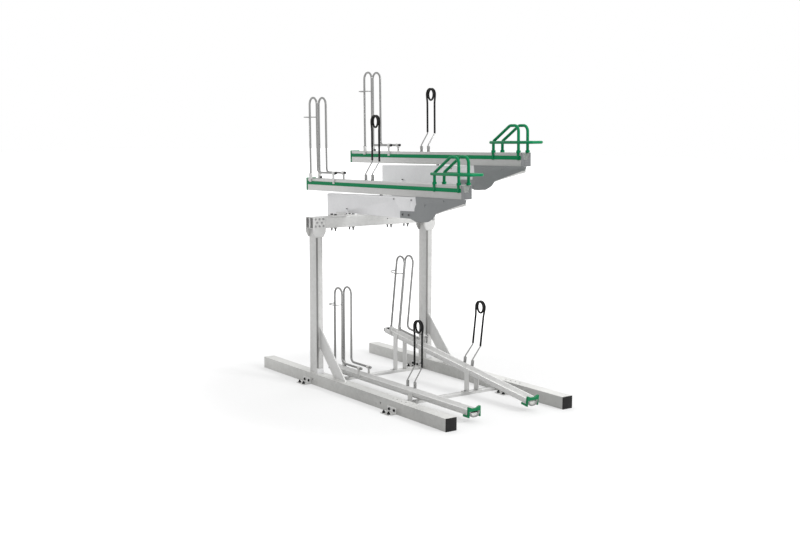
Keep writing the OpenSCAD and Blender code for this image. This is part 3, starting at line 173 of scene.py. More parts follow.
def galvanised(name, light, dark, metal=0.3, rough=0.42, flake=46.0, flake_share=0.2, spot=0.16, sides=None):
    """Hot dip zinc: crystal flakes of slightly different greys, soft clouds and dull spots.
    sides is (front Y, share there, rear Y, share there): painted shade on the faces square to x, which keep
    that share of their colour from front to rear."""
    m, t, s = new_material(name)
    v = own_place(t)
    cells = node(t, "ShaderNodeTexVoronoi", feature="F1")
    cells.inputs["Scale"].default_value = flake
    cells.inputs["Randomness"].default_value = 1.0
    warp = node(t, "ShaderNodeTexNoise")
    warp.inputs["Scale"].default_value = flake * 1.7
    t.links.new(v, warp.inputs["Vector"])
    t.links.new(mix(t, "LINEAR_LIGHT", 0.012, v, warp.outputs["Color"]), cells.inputs["Vector"])
    flakes = ramp(t, cells.outputs["Color"], [(0.15, 0.35), (0.85, 0.75)])
    clouds = noise(t, v, 2.6, 3.0, 0.5)
    fine = noise(t, v, 240.0, 2.0, 0.6)
    base = ramp(t, clouds, [(0.3, dark), (0.7, light)])
    tinted = mix(t, "SOFT_LIGHT", flake_share, base, flakes)
    spots = ramp(t, noise(t, v, 33.0, 5.0, 0.7), [(0.62, 0.0), (0.72, 1.0)])
    colour = mix(t, "MULTIPLY", arith(t, "MULTIPLY", spots, spot), tinted, (0.86, 0.855, 0.84))
    # Painted shade: faces square to x darken by their place along y.
    if sides:
        squareness, painted_shade_share = painted_side_shade(t, *sides)
        colour = mix(t, "MULTIPLY", squareness, colour, painted_shade_share)
    t.links.new(colour, s.inputs["Base Color"])
    s.inputs["Metallic"].default_value = metal
    shine = arith(t, "ADD", arith(t, "MULTIPLY", flakes, 0.16), arith(t, "MULTIPLY", clouds, 0.18))
    t.links.new(arith(t, "ADD", shine, rough - 0.17), s.inputs["Roughness"])
    relief = arith(t, "ADD", arith(t, "MULTIPLY", fine, 0.5), arith(t, "MULTIPLY", flakes, 0.5))
    bump(t, s, relief, 0.12, 0.0006)
    return m


def coat(name, colour, worn, rough, metal=0.0, orange=900.0, wear=0.4, gloss=0.3):
    """Powder coat: a fine orange peel, slight clouds and paler scuffs."""
    m, t, s = new_material(name)
    v = own_place(t)
    clouds = noise(t, v, 9.0, 3.0)
    base = mix(t, "MIX", clouds, tuple(c * 0.9 for c in colour), tuple(min(1, c * 1.08) for c in colour))
    scuffs = ramp(t, noise(t, v, 70.0, 8.0, 0.72), [(0.66, 0.0), (0.74, 1.0)])
    t.links.new(mix(t, "MIX", arith(t, "MULTIPLY", scuffs, wear), base, worn), s.inputs["Base Color"])
    s.inputs["Metallic"].default_value = metal
    s.inputs["Specular IOR Level"].default_value = gloss
    t.links.new(arith(t, "ADD", arith(t, "MULTIPLY", clouds, 0.12), rough), s.inputs["Roughness"])
    bump(t, s, noise(t, v, orange, 2.0), 0.18, 0.0003)
    return m


def moulded(name, colour, rough, grain=1400.0, gloss=0.25):
    """Moulded plastic or rubber with a fine grain and dusty patches."""
    m, t, s = new_material(name)
    v = own_place(t)
    dust = noise(t, v, 22.0, 6.0, 0.65)
    dusty = tuple(c * 0.8 + 0.05 for c in colour)
    t.links.new(mix(t, "MIX", ramp(t, dust, [(0.5, 0.0), (0.8, 0.3)]), colour, dusty), s.inputs["Base Color"])
    s.inputs["Specular IOR Level"].default_value = gloss
    t.links.new(arith(t, "ADD", arith(t, "MULTIPLY", dust, 0.2), rough), s.inputs["Roughness"])
    bump(t, s, noise(t, v, grain, 2.0), 0.3, 0.0003)
    return m


ZINC = galvanised("zinc_light", (0.70, 0.70, 0.69), (0.62, 0.62, 0.61))
ZINC_BOX = galvanised("zinc_box", (0.79, 0.79, 0.80), (0.72, 0.72, 0.73), rough=0.38, flake=60.0)
# Rails and trays get painted shade: their sides darken towards the front.
ZINC_RAIL = galvanised("zinc_rail", (0.66, 0.66, 0.64), (0.52, 0.52, 0.505), rough=0.44, flake_share=0.3,
                       sides=(-1.1, 0.76, 1.0, 1.0))
ZINC_TRAY = galvanised("zinc_tray", (0.70, 0.70, 0.69), (0.62, 0.62, 0.61), sides=(-0.95, 0.68, 0.6, 1.0))
ZINC_POST = galvanised("zinc_post", (0.66, 0.66, 0.65), (0.56, 0.56, 0.55), flake_share=0.3)
# The far brace has its own copy of zinc, lighter than the rest, its tone set for how light falls on it:
# painted light.
ZINC_FAR_BRACE_LIT = galvanised("zinc_far_brace_painted_light", (0.76, 0.76, 0.75), (0.70, 0.70, 0.69), rough=0.5)
ZINC_TUBE = galvanised("zinc_tube", (0.295, 0.295, 0.292), (0.27, 0.27, 0.267), metal=0.7, rough=0.3,
                       flake=120.0, flake_share=0.03, spot=0.02)
ZINC_BOLT = galvanised("zinc_bolt", (0.34, 0.34, 0.34), (0.26, 0.26, 0.26), metal=0.8, rough=0.34,
                       flake=260.0, flake_share=0.15)
DARK_BOLT = galvanised("dark_bolt", (0.10, 0.10, 0.10), (0.07, 0.07, 0.07), metal=0.7, rough=0.36,
                       flake=260.0, flake_share=0.1)
GREEN = coat("green_powder", (0.0, 0.24, 0.09), (0.01, 0.29, 0.12), 0.3, gloss=0.14)
GREEN_PLASTIC = moulded("green_moulded", (0.002, 0.19, 0.07), 0.4)
DARK = coat("dark_sheet_coat", (0.27, 0.28, 0.285), (0.33, 0.34, 0.345), 0.42, metal=0.2)
END_SHEET = coat("end_sheet_coat", (0.185, 0.19, 0.195), (0.24, 0.25, 0.255), 0.42, metal=0.2)
# This grey is both the lower trays' real rim and the painted shade strip in the posts' grooves.
RIM_GREY_AND_SHADE_STRIP = coat("rim_grey_and_groove_shade", (0.28, 0.28, 0.275), (0.34, 0.34, 0.33), 0.6, metal=0.2)
BLACK_COAT = coat("black_sleeve", (0.006, 0.006, 0.006), (0.02, 0.02, 0.02), 0.42, orange=700.0, wear=0.3,
                  gloss=0.2)
BLACK_BOLT = coat("black_bolt_coat", (0.01, 0.01, 0.01), (0.04, 0.04, 0.04), 0.35, metal=0.3)
BLACK = moulded("black_moulded", (0.01, 0.01, 0.01), 0.5)
RUBBER = moulded("black_rubber", (0.012, 0.012, 0.012), 0.65, grain=600.0)
PALE = moulded("pale_moulded", (0.72, 0.72, 0.70), 0.45)

# A name that is no node stands for the near and the far lane's piece
for n, material in {
    "near_rail": ZINC_RAIL, "far_rail": ZINC_RAIL, "front_rail_caps": BLACK, "rear_rail_caps": PALE,
    "rear_crossbar": ZINC, "front_crossbar": ZINC, "floor_brackets": ZINC, "floor_bolts": BLACK_BOLT,
    "base_bolts": ZINC_BOLT, "near_post": ZINC_POST, "far_post": ZINC_POST, "near_brace": ZINC,
    "far_brace": ZINC_FAR_BRACE_LIT, "post_feet": ZINC_BOX, "head_plates": ZINC, "head_bolts": ZINC_BOLT,
    "crossbeam": ZINC_POST, "clamp_plates": ZINC, "clamp_bolts": ZINC_BOLT, "far_riser": ZINC_BOX,
    "near_box": ZINC_BOX, "far_box": ZINC_BOX, "box_bolts": ZINC_BOLT, "hinge_brackets": DARK,
    "pivot_pins": ZINC_BOLT, "lift_struts": BLACK_COAT, "rest_stops": RUBBER, "low_tray": ZINC,
    "sloped_tray": ZINC, "low_end_caps": GREEN_PLASTIC, "low_end_trims": BLACK, "low_hoops": ZINC_TUBE,
    "sloped_hoops": ZINC_TUBE, "low_fittings": ZINC, "low_knobs": BLACK, "tray_supports": ZINC,
    "arm": ZINC, "arm_cover": DARK, "rollers": BLACK, "push_rod": ZINC_BOLT, "tray": ZINC_TRAY,
    "tray_trim": GREEN, "hoops": ZINC_TUBE, "fittings": ZINC, "knobs": BLACK, "handle": GREEN,
}.items():
    for name in ([n] if n in NODES else ["near_" + n, "far_" + n]):
        o = NODES[name]
        o.data.materials.clear()
        o.data.materials.append(material)


def repaint(name, material, chosen):
    """Gives a second material to the faces whose centre in the world is chosen."""
    o = NODES[name]
    o.data.materials.append(material)
    for p in o.data.polygons:
        if chosen(o.matrix_world @ p.center):
            p.material_index = 1


# The lower rods' front knobs are bare metal, and the holders' sockets get the tubes' dark zinc as painted
# shade
KNOBS_BARE_BEFORE = 400
LOW_SHADED_SOCKETS_Y, SHADED_SOCKET_REACH = -350, 75
repaint("low_knobs", ZINC_TUBE, lambda c: c.y < KNOBS_BARE_BEFORE * MM)
# Painted shade: the faces near each socket take the dark tube zinc.
for name, middle in (("near_fittings", HOLDER_S), ("far_fittings", HOLDER_S),
                     ("low_fittings", LOW_SHADED_SOCKETS_Y)):
    repaint(name, ZINC_TUBE, lambda c: abs(c.y - middle * MM) < SHADED_SOCKET_REACH * MM)

# Fine edges on the solids
EDGE, SMALL_EDGE = 0.9, 0.6
RAIL_ROUND = 4.5
SHARP = radians(32)
ALONG_Y = 1


def round_tube(o, axis, width):
    """Rounds the outer long edges of a tube that runs along an axis."""
    points = [v.co for v in o.data.vertices]
    across = [i for i in range(3) if i != axis]
    limits = {i: (min(p[i] for p in points), max(p[i] for p in points)) for i in across}
    near_limit = 0.1 * MM
    outer = [v.index for v in o.data.vertices
             if all(min(v.co[i] - limits[i][0], limits[i][1] - v.co[i]) < near_limit for i in across)]
    o.vertex_groups.new(name="long_edges").add(outer, 1.0, "REPLACE")
    big = o.modifiers.new("tube_edges", "BEVEL")
    big.width = width * MM
    big.segments = 4
    big.limit_method = "VGROUP"
    big.vertex_group = "long_edges"
    big.use_clamp_overlap = True


def finish_edges(o, width, tube_round=0):
    """Real small rounds on the sharp edges, then shading by angle. A tube along Y has a round of its own."""
    weld = o.modifiers.new("weld", "WELD")
    weld.merge_threshold = 0.01 * MM
    flat = o.modifiers.new("flat", "DECIMATE")
    flat.decimate_type = "DISSOLVE"
    flat.angle_limit = radians(0.4)
    if tube_round:
        round_tube(o, ALONG_Y, tube_round)
    bevel = o.modifiers.new("bevel", "BEVEL")
    bevel.width = width * MM
    bevel.segments = 2
    bevel.limit_method = "ANGLE"
    bevel.angle_limit = SHARP
    bevel.harden_normals = True
    bevel.use_clamp_overlap = True
    for p in o.data.polygons:
        p.use_smooth = True
    if tube_round:
        level = o.modifiers.new("level", "WEIGHTED_NORMAL")
        level.mode = "FACE_AREA"
        level.weight = 100


for name, o in NODES.items():
    if name.endswith(("spring", "springs")):
        continue
    finish_edges(o, SMALL_EDGE if "bolt" in name or "fittings" in name else EDGE,
                 RAIL_ROUND if name.endswith("_rail") else 0)


# Meshes: add_mesh makes the piece, and the other helpers return its (vertices, faces)
def add_mesh(name, verts, faces, material, body, slot, smooth=True):
    mesh = bpy.data.meshes.new(name)
    mesh.from_pydata([tuple(v) for v in verts], [], faces)
    mesh.validate()
    b = bmesh.new()
    b.from_mesh(mesh)
    bmesh.ops.remove_doubles(b, verts=b.verts, dist=0.001 * MM)
    bmesh.ops.recalc_face_normals(b, faces=b.faces)
    b.to_mesh(mesh)
    b.free()
    mesh.materials.append(material)
    for p in mesh.polygons:
        p.use_smooth = smooth
    o = bpy.data.objects.new(name, mesh)
    bpy.context.scene.collection.objects.link(o)
    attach(o, body)
    return o


def ring_faces(rings, sides):
    """Faces that join rings of equal sides into a closed body."""
    faces = []
    for i in range(rings - 1):
        for k in range(sides):
            a, b = i * sides + k, i * sides + (k + 1) % sides
            faces.append((a, b, b + sides, a + sides))
    faces.append(tuple(reversed(range(sides))))
    faces.append(tuple((rings - 1) * sides + k for k in range(sides)))
    return faces


def swept(points, radii, sides=20):
    """Rings of a round tube along points, closed at both ends. radii is one number or one per point."""
    verts = []
    last = len(points) - 1
    up = None
    for i, p in enumerate(points):
        ahead = (points[min(i + 1, last)] - points[max(i - 1, 0)]).normalized()
        if up is None:
            up = ahead.orthogonal().normalized()
        up = (up - ahead * up.dot(ahead)).normalized()
        other = ahead.cross(up)
        r = radii[i] if isinstance(radii, list) else radii
        verts += [p + (up * cos(2 * pi * k / sides) + other * sin(2 * pi * k / sides)) * r
                  for k in range(sides)]
    return verts, ring_faces(len(points), sides)


def joined(parts):
    """Several (vertices, faces) as one."""
    verts, faces = [], []
    for v, f in parts:
        start = len(verts)
        verts += list(v)
        faces += [tuple(start + i for i in face) for face in f]
    return verts, faces


def rounded(points, bend, steps=6):
    """A polyline with its corners rounded over the given length."""
    out = [points[0]]
    for a, p, b in zip(points, points[1:], points[2:]):
        start = p + (a - p).normalized() * bend
        end = p + (b - p).normalized() * bend
        for k in range(steps + 1):
            u = k / steps
            out.append(start * (1 - u) ** 2 + p * 2 * u * (1 - u) + end * u * u)
    out.append(points[-1])
    return out


# Sprung holders: bare wire below, black sleeve above. HALF stands for half a distance along the tray, and
# the kinks, the coil and the flare are measured up from the lip.
FOOT_X, UPRIGHT_X = 40, 100
FOOT_HALF, UPRIGHT_HALF, COIL_R = 43, 34, 41
KINK_LOW, KINK_HIGH, KINK_ROUND, KINK_END = 48, 135, 6, 160
COIL_PITCH, COIL_TURNS, COIL_HEIGHT, COIL_STEPS = 15.5, 1.5, 423, 72
FLARE, FLARE_STEPS = 70, 8
WIRE_R, SLEEVE_R, BARE_WIRE, WIRE_IN_SLEEVE = 4.5, 7.25, 158, 4
SLEEVE_ENDS = ((0, 5.6), (0.8, 6.9), (2, SLEEVE_R))


def smooth_step(u):
    return u * u * (3 - 2 * u)


def holder_path(place, s, lip):
    """Centre points of a holder's wire from foot to foot."""
    shift = COIL_PITCH * (COIL_TURNS - 0.5) / 2

    def leg(x, way):
        foot, upright = s + way * FOOT_HALF, s + way * UPRIGHT_HALF
        bent = rounded([Vector((FOOT_X, foot, lip)), Vector((FOOT_X, foot, lip + KINK_LOW)),
                        Vector((x, upright, lip + KINK_HIGH)), Vector((x, upright, lip + KINK_END))],
                       KINK_ROUND)
        for k in range(FLARE_STEPS):
            u = k / FLARE_STEPS
            out = UPRIGHT_HALF + (COIL_R - UPRIGHT_HALF) * smooth_step(u)
            bent.append(Vector((x, s + way * out, lip + COIL_HEIGHT - FLARE * (1 - u))))
        return bent

    coil = []
    for i in range(int(COIL_STEPS * COIL_TURNS) + 1):
        turn = i / COIL_STEPS
        across = COIL_PITCH * (int(turn) + smooth_step(max(2 * (turn % 1) - 1, 0)))
        coil.append(Vector((UPRIGHT_X - shift + across, s + COIL_R * cos(2 * pi * turn),
                            lip + COIL_HEIGHT + COIL_R * sin(2 * pi * turn))))
    points = leg(UPRIGHT_X - shift, 1) + coil + list(reversed(leg(UPRIGHT_X + shift, -1)))
    return [place @ (p * MM) for p in points]


def stretch(points, start, end):
    """The part of a polyline between two lengths from its start."""
    out, run = [], 0
    for a, b in zip(points, points[1:]):
        step = (b - a).length
        for edge in (start, end):
            if run < edge < run + step:
                out.append(a.lerp(b, (edge - run) / step))
        if start <= run + step <= end:
            out.append(b)
        run += step
    return out


def sleeve_with_ends(points):
    """The sleeve's centre points and radii, with a turned edge at both ends."""
    first, last = points[0], points[-1]
    head = [first + (points[1] - first).normalized() * d * MM for d, _ in SLEEVE_ENDS]
    tail = [last + (points[-2] - last).normalized() * d * MM for d, _ in reversed(SLEEVE_ENDS)]
    middle = points[1:-1]
    radii = [r for _, r in SLEEVE_ENDS] + [SLEEVE_R] * len(middle) + [r for _, r in reversed(SLEEVE_ENDS)]
    return head + middle + tail, [r * MM for r in radii]


def sprung_holder(name, place, s, lip, body, nodes_replaced):
    points = holder_path(place, s, lip)
    whole = sum((b - a).length for a, b in zip(points, points[1:]))
    bare, hidden = BARE_WIRE * MM, (BARE_WIRE + WIRE_IN_SLEEVE) * MM
    wire = joined([swept(stretch([points[0]] + points, 0, hidden), WIRE_R * MM),
                   swept(stretch(points, whole - hidden, whole + 1), WIRE_R * MM)])
    o = add_mesh(name + "_wire", *wire, ZINC_TUBE, body, "galvanised")
    sleeve, radii = sleeve_with_ends(stretch(points, bare, whole - bare))
    c = add_mesh(name + "_sleeve", *swept(sleeve, radii, 24), BLACK_COAT, body, "black_coat")
    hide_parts(*nodes_replaced)
    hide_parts(*nodes_replaced)


for side, tag in SIDES:
    sprung_holder(tag + "_holder", lane(side), HOLDER_S, LIP, tag + "_tray", [tag + "_spring"])
    sprung_holder(tag + "_low_holder", low_lane(side), LOW_HOLDER_S, LOW_LIP, "frame", ["low_springs"])


# Fasteners with chamfered heads, washers and threads, made along Z in millimetres
def lathe(profile, sides=28):
    """Solid of revolution about Z from (radius, height) pairs, closed at both ends."""
    turns = [(cos(2 * pi * k / sides), sin(2 * pi * k / sides)) for k in range(sides)]
    return [Vector((r * x, r * y, z)) for r, z in profile for x, y in turns], ring_faces(len(profile), sides)


def hex_head(corners, height, sides=48):
    """Hexagon head whose corners are turned off by a cone, from Z = 0 up."""
    flat = corners / 2 * cos(radians(30))
    top = flat * 0.96
    rings = [[], [], [], []]
    for k in range(sides):
        a = 2 * pi * k / sides
        r = flat / cos((a % radians(60)) - radians(30))
        x, y = cos(a), sin(a)
        rings[0].append(Vector((r * 0.985 * x, r * 0.985 * y, 0)))
        rings[1].append(Vector((r * x, r * y, height * 0.06)))
        rings[2].append(Vector((r * x, r * y, height - (r - top) * tan(radians(30)))))
        rings[3].append(Vector((top * x, top * y, height)))
    return [v for ring in rings for v in ring], ring_faces(len(rings), sides)


def washer(d, thick):
    r, e = d / 2, thick * 0.3
    return lathe([(r - e, 0), (r, e), (r, thick - e), (r - e, thick)])


def thread(d, length, pitch=1.75):
    """A screw end: one ridge a turn, with a turned tip."""
    r, out = d / 2, []
    for i in range(max(1, int((length - 1) / pitch))):
        z = i * pitch
        out += [(r * 0.9, z), (r, z + pitch * 0.35), (r, z + pitch * 0.55), (r * 0.9, z + pitch * 0.95)]
    out += [(r * 0.9, length - 1), (r * 0.75, length)]
    return lathe(out, 20)


def domed(d, h):
    """Button head."""
    r = d / 2
    crown = [(r * cos(radians(a)) ** 0.8, h * (0.25 + 0.75 * sin(radians(a)))) for a in (15, 30, 45, 60, 75)]
    socket = [(r * 0.3, h), (r * 0.27, h * 0.72), (r * 0.05, h * 0.7)]
    return lathe([(r * 0.97, 0), (r, h * 0.1), (r, h * 0.25)] + crown + socket)


def put(part, at, axis, place=None, spin=0.0):
    """Stands a part made along Z at a point, along axis, all in millimetres, and returns it in metres."""
    turn = Vector(axis).to_track_quat("Z", "Y").to_matrix().to_4x4()
    m = Matrix.Translation(Vector(at)) @ turn @ Matrix.Rotation(spin, 4, "Z")
    verts, faces = part
    out = [(m @ v) * MM for v in verts]
    if place is not None:
        out = [place @ v for v in out]
    return out, faces


def spin_of(*numbers):
    """A turn that differs from bolt to bolt and is the same in each run."""
    return (sum(n * f for n, f in zip(numbers, (12.9898, 78.233, 37.719))) * 0.37) % 6.283


WASHER_T, WASHER_SEAT = 2.0, 1.6


def bolt(at, axis, corners, height, wash, place=None, shank=None, stub=None):
    """Head and washer on their seat at a point. wash is the washer's diameter, shank a plain part into
    the piece as (diameter, length), and stub a threaded end above the head as (diameter, length)."""
    base, way = Vector(at), Vector(axis)
    parts = [put(washer(wash, WASHER_T), at, axis, place),
             put(hex_head(corners, height - WASHER_SEAT), base + way * WASHER_SEAT, axis, place,
                 spin_of(*at))]
    if shank:
        d, length = shank
        parts.append(put(lathe([(d / 2, 0), (d / 2, length)]), base - way * length, axis, place))
    if stub:
        d, length = stub
        parts.append(put(thread(d, length + height * 0.5), base + way * height * 0.5, axis, place))
    return parts


# Floor brackets: two anchors in the floor plate and two bolts into the rail, at four places on each rail
BRACKET_YS = (514, -588)
ANCHOR_X, ANCHOR_PITCH = 93, 56
SIDE_BOLT_X, SIDE_BOLT_PITCH, SIDE_BOLT_Z = 48, 58, 25
parts = []
for rail in (NEAR, FAR):
    for out in (-1, 1):
        for y in BRACKET_YS:
            for i in (-0.5, 0.5):
                parts += bolt((rail * RAIL_X + out * ANCHOR_X, y + i * ANCHOR_PITCH, PLATE_T), (0, 0, 1),
                              corners=22, height=10, wash=23.5, shank=(12, 4), stub=(12, 9))
                parts += bolt((rail * RAIL_X + out * SIDE_BOLT_X, y + i * SIDE_BOLT_PITCH, SIDE_BOLT_Z),
                              (out, 0, 0), corners=18, height=7, wash=19.5, shank=(10, 9))
o = add_mesh("floor_bolts_fine", *joined(parts), BLACK_BOLT, "frame", "black_coat")
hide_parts("floor_bolts")

# Crossbars: a bolt through each end plate and two through each tray support
CROSSBAR_YS = (436, -448)
END_BOLT_X, END_BOLT_Z = 452, 42
SUPPORT_BOLT_HALF, SUPPORT_BOLT_Z = 62, 23
parts = []
for y in CROSSBAR_YS:
    for rail in (NEAR, FAR):
        parts += bolt((rail * END_BOLT_X, y, END_BOLT_Z), (-rail, 0, 0),
                      corners=18, height=7, wash=20, shank=(10, 9))
        for i in (-1, 1):
            parts += bolt((rail * LANE_X + i * SUPPORT_BOLT_HALF, y, SUPPORT_BOLT_Z), (0, 0, 1),
                          corners=15, height=6, wash=17, shank=(8, 14))
o = add_mesh("base_bolts_fine", *joined(parts), ZINC_BOLT, "frame", "galvanised")
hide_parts("base_bolts")

# Head plates: eight bolts on each face, as (distance from the post's middle, drop from the beam's top)
HEAD_PLACES = [(-33, 12), (0, 12), (33, 12), (-20, 37), (20, 37), (-33, 64), (0, 64), (33, 64)]
parts = []
for rail in (NEAR, FAR):
    for x, drop in HEAD_PLACES:
        for y, way in ((POST_FRONT - PLATE_T, -1), (POST_REAR + PLATE_T, 1)):
            parts += bolt((rail * RAIL_X + x, y, BEAM_TOP - drop), (0, way, 0),
                          corners=15, height=6, wash=16, shank=(8, 12))
o = add_mesh("head_bolts_fine", *joined(parts), ZINC_BOLT, "frame", "rail_zinc")
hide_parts("head_bolts")

# Clamps of the boxes on the crossbeam: heads above, nuts with their threads below
CLAMP_MIDDLE, CLAMP_HALF_X, CLAMP_HALF_Y = -18, 78, 25
parts = []
for side in (NEAR, FAR):
    for i in (-1, 1):
        for j in (-1, 1):
            x, y = side * LANE_X + CLAMP_MIDDLE + i * CLAMP_HALF_X, POST_Y + j * CLAMP_HALF_Y
            parts += bolt((x, y, CLAMP_TOP), (0, 0, 1), corners=21, height=9, wash=23, shank=(12, 90))
            parts += bolt((x, y, BEAM_LOW), (0, 0, -1), corners=22, height=10, wash=25, stub=(12, 18))
o = add_mesh("clamp_bolts_fine", *joined(parts), DARK_BOLT, "frame", "galvanised")
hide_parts("clamp_bolts")

# Boxes: two button heads near the top, two bolts through each hinge bracket and one in the ear
BUTTON_SS, BUTTON_N = (-242, -448), -24
BUTTON_SHANK = [(4, 0), (4, 6)]
BRACKET_SS, BRACKET_N, BRACKET_T = (-352, -422), -126.5, 3
EAR_BOLT = (-46, 350, -122)
parts, dark = [], []
for side, tag in SIDES:
    L = lane(side)
    for s_at in BUTTON_SS:
        parts.append(put(domed(d=14, h=5), (BOX_NEAR, s_at, BUTTON_N), (-1, 0, 0), L))
        parts.append(put(lathe(BUTTON_SHANK), (BOX_NEAR, s_at, BUTTON_N), (1, 0, 0), L))
    for s_at in BRACKET_SS:
        for x, way in ((BOX_NEAR - BRACKET_T, -1), (BOX_FAR + BRACKET_T, 1)):
            dark += bolt((x, s_at, BRACKET_N), (way, 0, 0),
                         corners=14, height=5, wash=15, place=L, shank=(8, 9))
    dark += bolt(EAR_BOLT, (0, 0, 1), corners=12, height=6, wash=12.5, place=L, shank=(6, 34))
o = add_mesh("box_bolts_fine", *joined(parts), ZINC_BOLT, "frame", "galvanised")
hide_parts("box_bolts")
o = add_mesh("bracket_bolts_fine", *joined(dark), DARK_BOLT, "frame", "galvanised")
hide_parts("box_bolts")


# Sheets, a strip of painted shade and weld beads
def slab(x, y, z, edge, place=None):
    """A box between pairs of limits, in millimetres, with rounded edges."""
    b = bmesh.new()
    bmesh.ops.create_cube(b, size=1.0)
    for v in b.verts:
        v.co = Vector([(lo + hi) / 2 + c * (hi - lo) for c, (lo, hi) in zip(v.co, (x, y, z))])
    bmesh.ops.bevel(b, geom=b.edges[:], offset=edge, segments=3, profile=0.5, affect="EDGES")
    b.verts.index_update()
    verts = [v.co.copy() * MM for v in b.verts]
    faces = [tuple(v.index for v in f.verts) for f in b.faces]
    b.free()
    return [place @ v for v in verts] if place is not None else verts, faces


def plate(outline, s, thick, edge, place):
    """An outline in (x, n) raised by thick along s, its front edge turned by edge, in millimetres."""
    n = len(outline)
    normals = []
    for i in range(n):
        (ax, ay), (bx, by) = outline[i - 1], outline[(i + 1) % n]
        normals.append(Vector((by - ay, ax - bx)).normalized())
    rings = [(s + thick, 0), (s + edge, 0), (s + edge * 0.3, edge * 0.3), (s, edge)]
    verts = [place @ (Vector((p[0] - q[0] * pull, at, p[1] - q[1] * pull)) * MM)
             for at, pull in rings for p, q in zip(outline, normals)]
    return verts, ring_faces(len(rings), n)


def bead(a, b, size):
    """A weld bead from a to b, in millimetres, with the ripples of the torch."""
    a, b = Vector(a) * MM, Vector(b) * MM
    steps = max(6, int((b - a).length / (1.6 * MM)))
    points = [a.lerp(b, i / steps) for i in range(steps + 1)]
    radii = [size * MM * (1 + 0.11 * sin(i * 2.1) + 0.05 * sin(i * 0.37)) for i in range(steps + 1)]
    radii[0] = radii[-1] = size * MM * 0.45
    return swept(points, radii, 10)


def bar(xs, corners, place):
    """A bar between two places across, with the given corners in (s, n), in millimetres."""
    verts = [place @ (Vector((x, s, n)) * MM) for x in xs for s, n in corners]
    return verts, ring_faces(len(xs), len(corners))


# Post's groove: a dark strip that lies in it, painted shade for the groove
SHADE_STRIP_X, SHADE_STRIP_Y, SHADE_STRIP_Z = (-26.6, -13.4), (402.2, 403.8), (127, 1092)
# Front end of an upper tray: the sheet's outline and the raised field in it, in (x, n)
END_OUTLINE = [(-42, 3), (-39, 0), (39, 0), (42, 3), (42, 87), (40, 90), (33.4, 90), (17.4, 45.4),
               (-17.4, 45.4), (-33.4, 90), (-40, 90), (-42, 87)]
END_FIELD = [(-17, 8), (-14, 5), (14, 5), (17, 8), (17, 36), (14, 39), (-14, 39), (-17, 36)]
END_S, FIELD_S = -999.0, -1000.2
# Rolled hems on the lips, with their ends as (radius, distance from the end)
HEM_X, HEM_N, HEM_START, HEM_GAP = 40.6, 89.3, -993, 0.5
HEM_END = [(0.9, 0), (2.1, 0.8), (2.1, 3)]
# Arm cover: its place and size, the narrow flange on its side as shares of length and height, the hem that
# closes the wedge under the tray, and the bolts
COVER_FRONT, COVER_L, COVER_TOP, COVER_H = -1054, 547, 1, 171
FLANGE_SHARES = ((0.04, 0.835), (0.575, 0.384))
FLANGE_X, FLANGE_HALF_T = (-53, -47.2), 2.5
COVER_HEM_X, COVER_HEM_FROM, COVER_HEM_TO, COVER_HEM_LOW, COVER_HEM_DROP = (-47.4, -43.9), 0.5, 546, -1, 7.8
COVER_BOLTS, COVER_BOLT_X = ((-607, -52), (-814, -18)), -49

for side, tag in SIDES:
    L = lane(side)
    shade_strip_x = [side * RAIL_X + x for x in SHADE_STRIP_X]
    # Painted shade: a dark strip in the groove stands in for its shadow.
    add_mesh(tag + "_post_shade_strip", *slab(shade_strip_x, SHADE_STRIP_Y, SHADE_STRIP_Z, 0.5), RIM_GREY_AND_SHADE_STRIP, "frame", "galvanised")

    front = joined([plate(END_OUTLINE, END_S, thick=1.9, edge=0.7, place=L),
                    plate(END_FIELD, FIELD_S, thick=1.3, edge=1.0, place=L)])
    add_mesh(tag + "_tray_end_fine", *front, END_SHEET, tag + "_tray", "dark_sheet", False)

    hem_l = HOOP_S + TAILS[side] - HEM_GAP - HEM_START
    profile = HEM_END + [(r, hem_l - z) for r, z in reversed(HEM_END)]
    hems = [put(lathe(profile, 12), (x, HEM_START, HEM_N), (0, 1, 0), L) for x in (-HEM_X, HEM_X)]
    add_mesh(tag + "_tray_hems", *joined(hems), ZINC, tag + "_tray", "galvanised")

    (s0, n0), (s1, n1) = [(COVER_FRONT + COVER_L * a, COVER_TOP - COVER_H * (1 - b))
                          for a, b in FLANGE_SHARES]
    slant = Matrix.Translation(Vector((0, s0, n0)) * MM) @ Matrix.Rotation(atan2(n1 - n0, s1 - s0), 4, "X")
    flange = slab(FLANGE_X, (0, hypot(s1 - s0, n1 - n0)), (-FLANGE_HALF_T, FLANGE_HALF_T), 1.0, L @ slant)
    add_mesh(tag + "_cover_flange", *flange, ZINC, tag + "_arm", "galvanised")

    low = [(COVER_FRONT + at, COVER_HEM_LOW - COVER_HEM_DROP * at / COVER_L)
           for at in (COVER_HEM_FROM, COVER_HEM_TO)]
    high = [(s_at, COVER_TOP) for s_at, _ in reversed(low)]
    add_mesh(tag + "_cover_hem", *bar(COVER_HEM_X, low + high, L), DARK, tag + "_arm", "dark_sheet", False)

    cover_bolts = [put(domed(d=11, h=3.2), (COVER_BOLT_X, s_at, n_at), (-1, 0, 0), L)
                   for s_at, n_at in COVER_BOLTS]
    add_mesh(tag + "_cover_bolts_fine", *joined(cover_bolts), ZINC_BOLT, tag + "_arm", "galvanised")


def bow(half, low, high, r, steps=10):
    """A U outline: straight sides from high down to rounded lower corners at low, left to right."""
    out = [(-half, high)]
    out += [(-half + r - r * cos(radians(90 * k / steps)), low + r - r * sin(radians(90 * k / steps)))
            for k in range(steps + 1)]
    return out + [(-x, n) for x, n in reversed(out)]


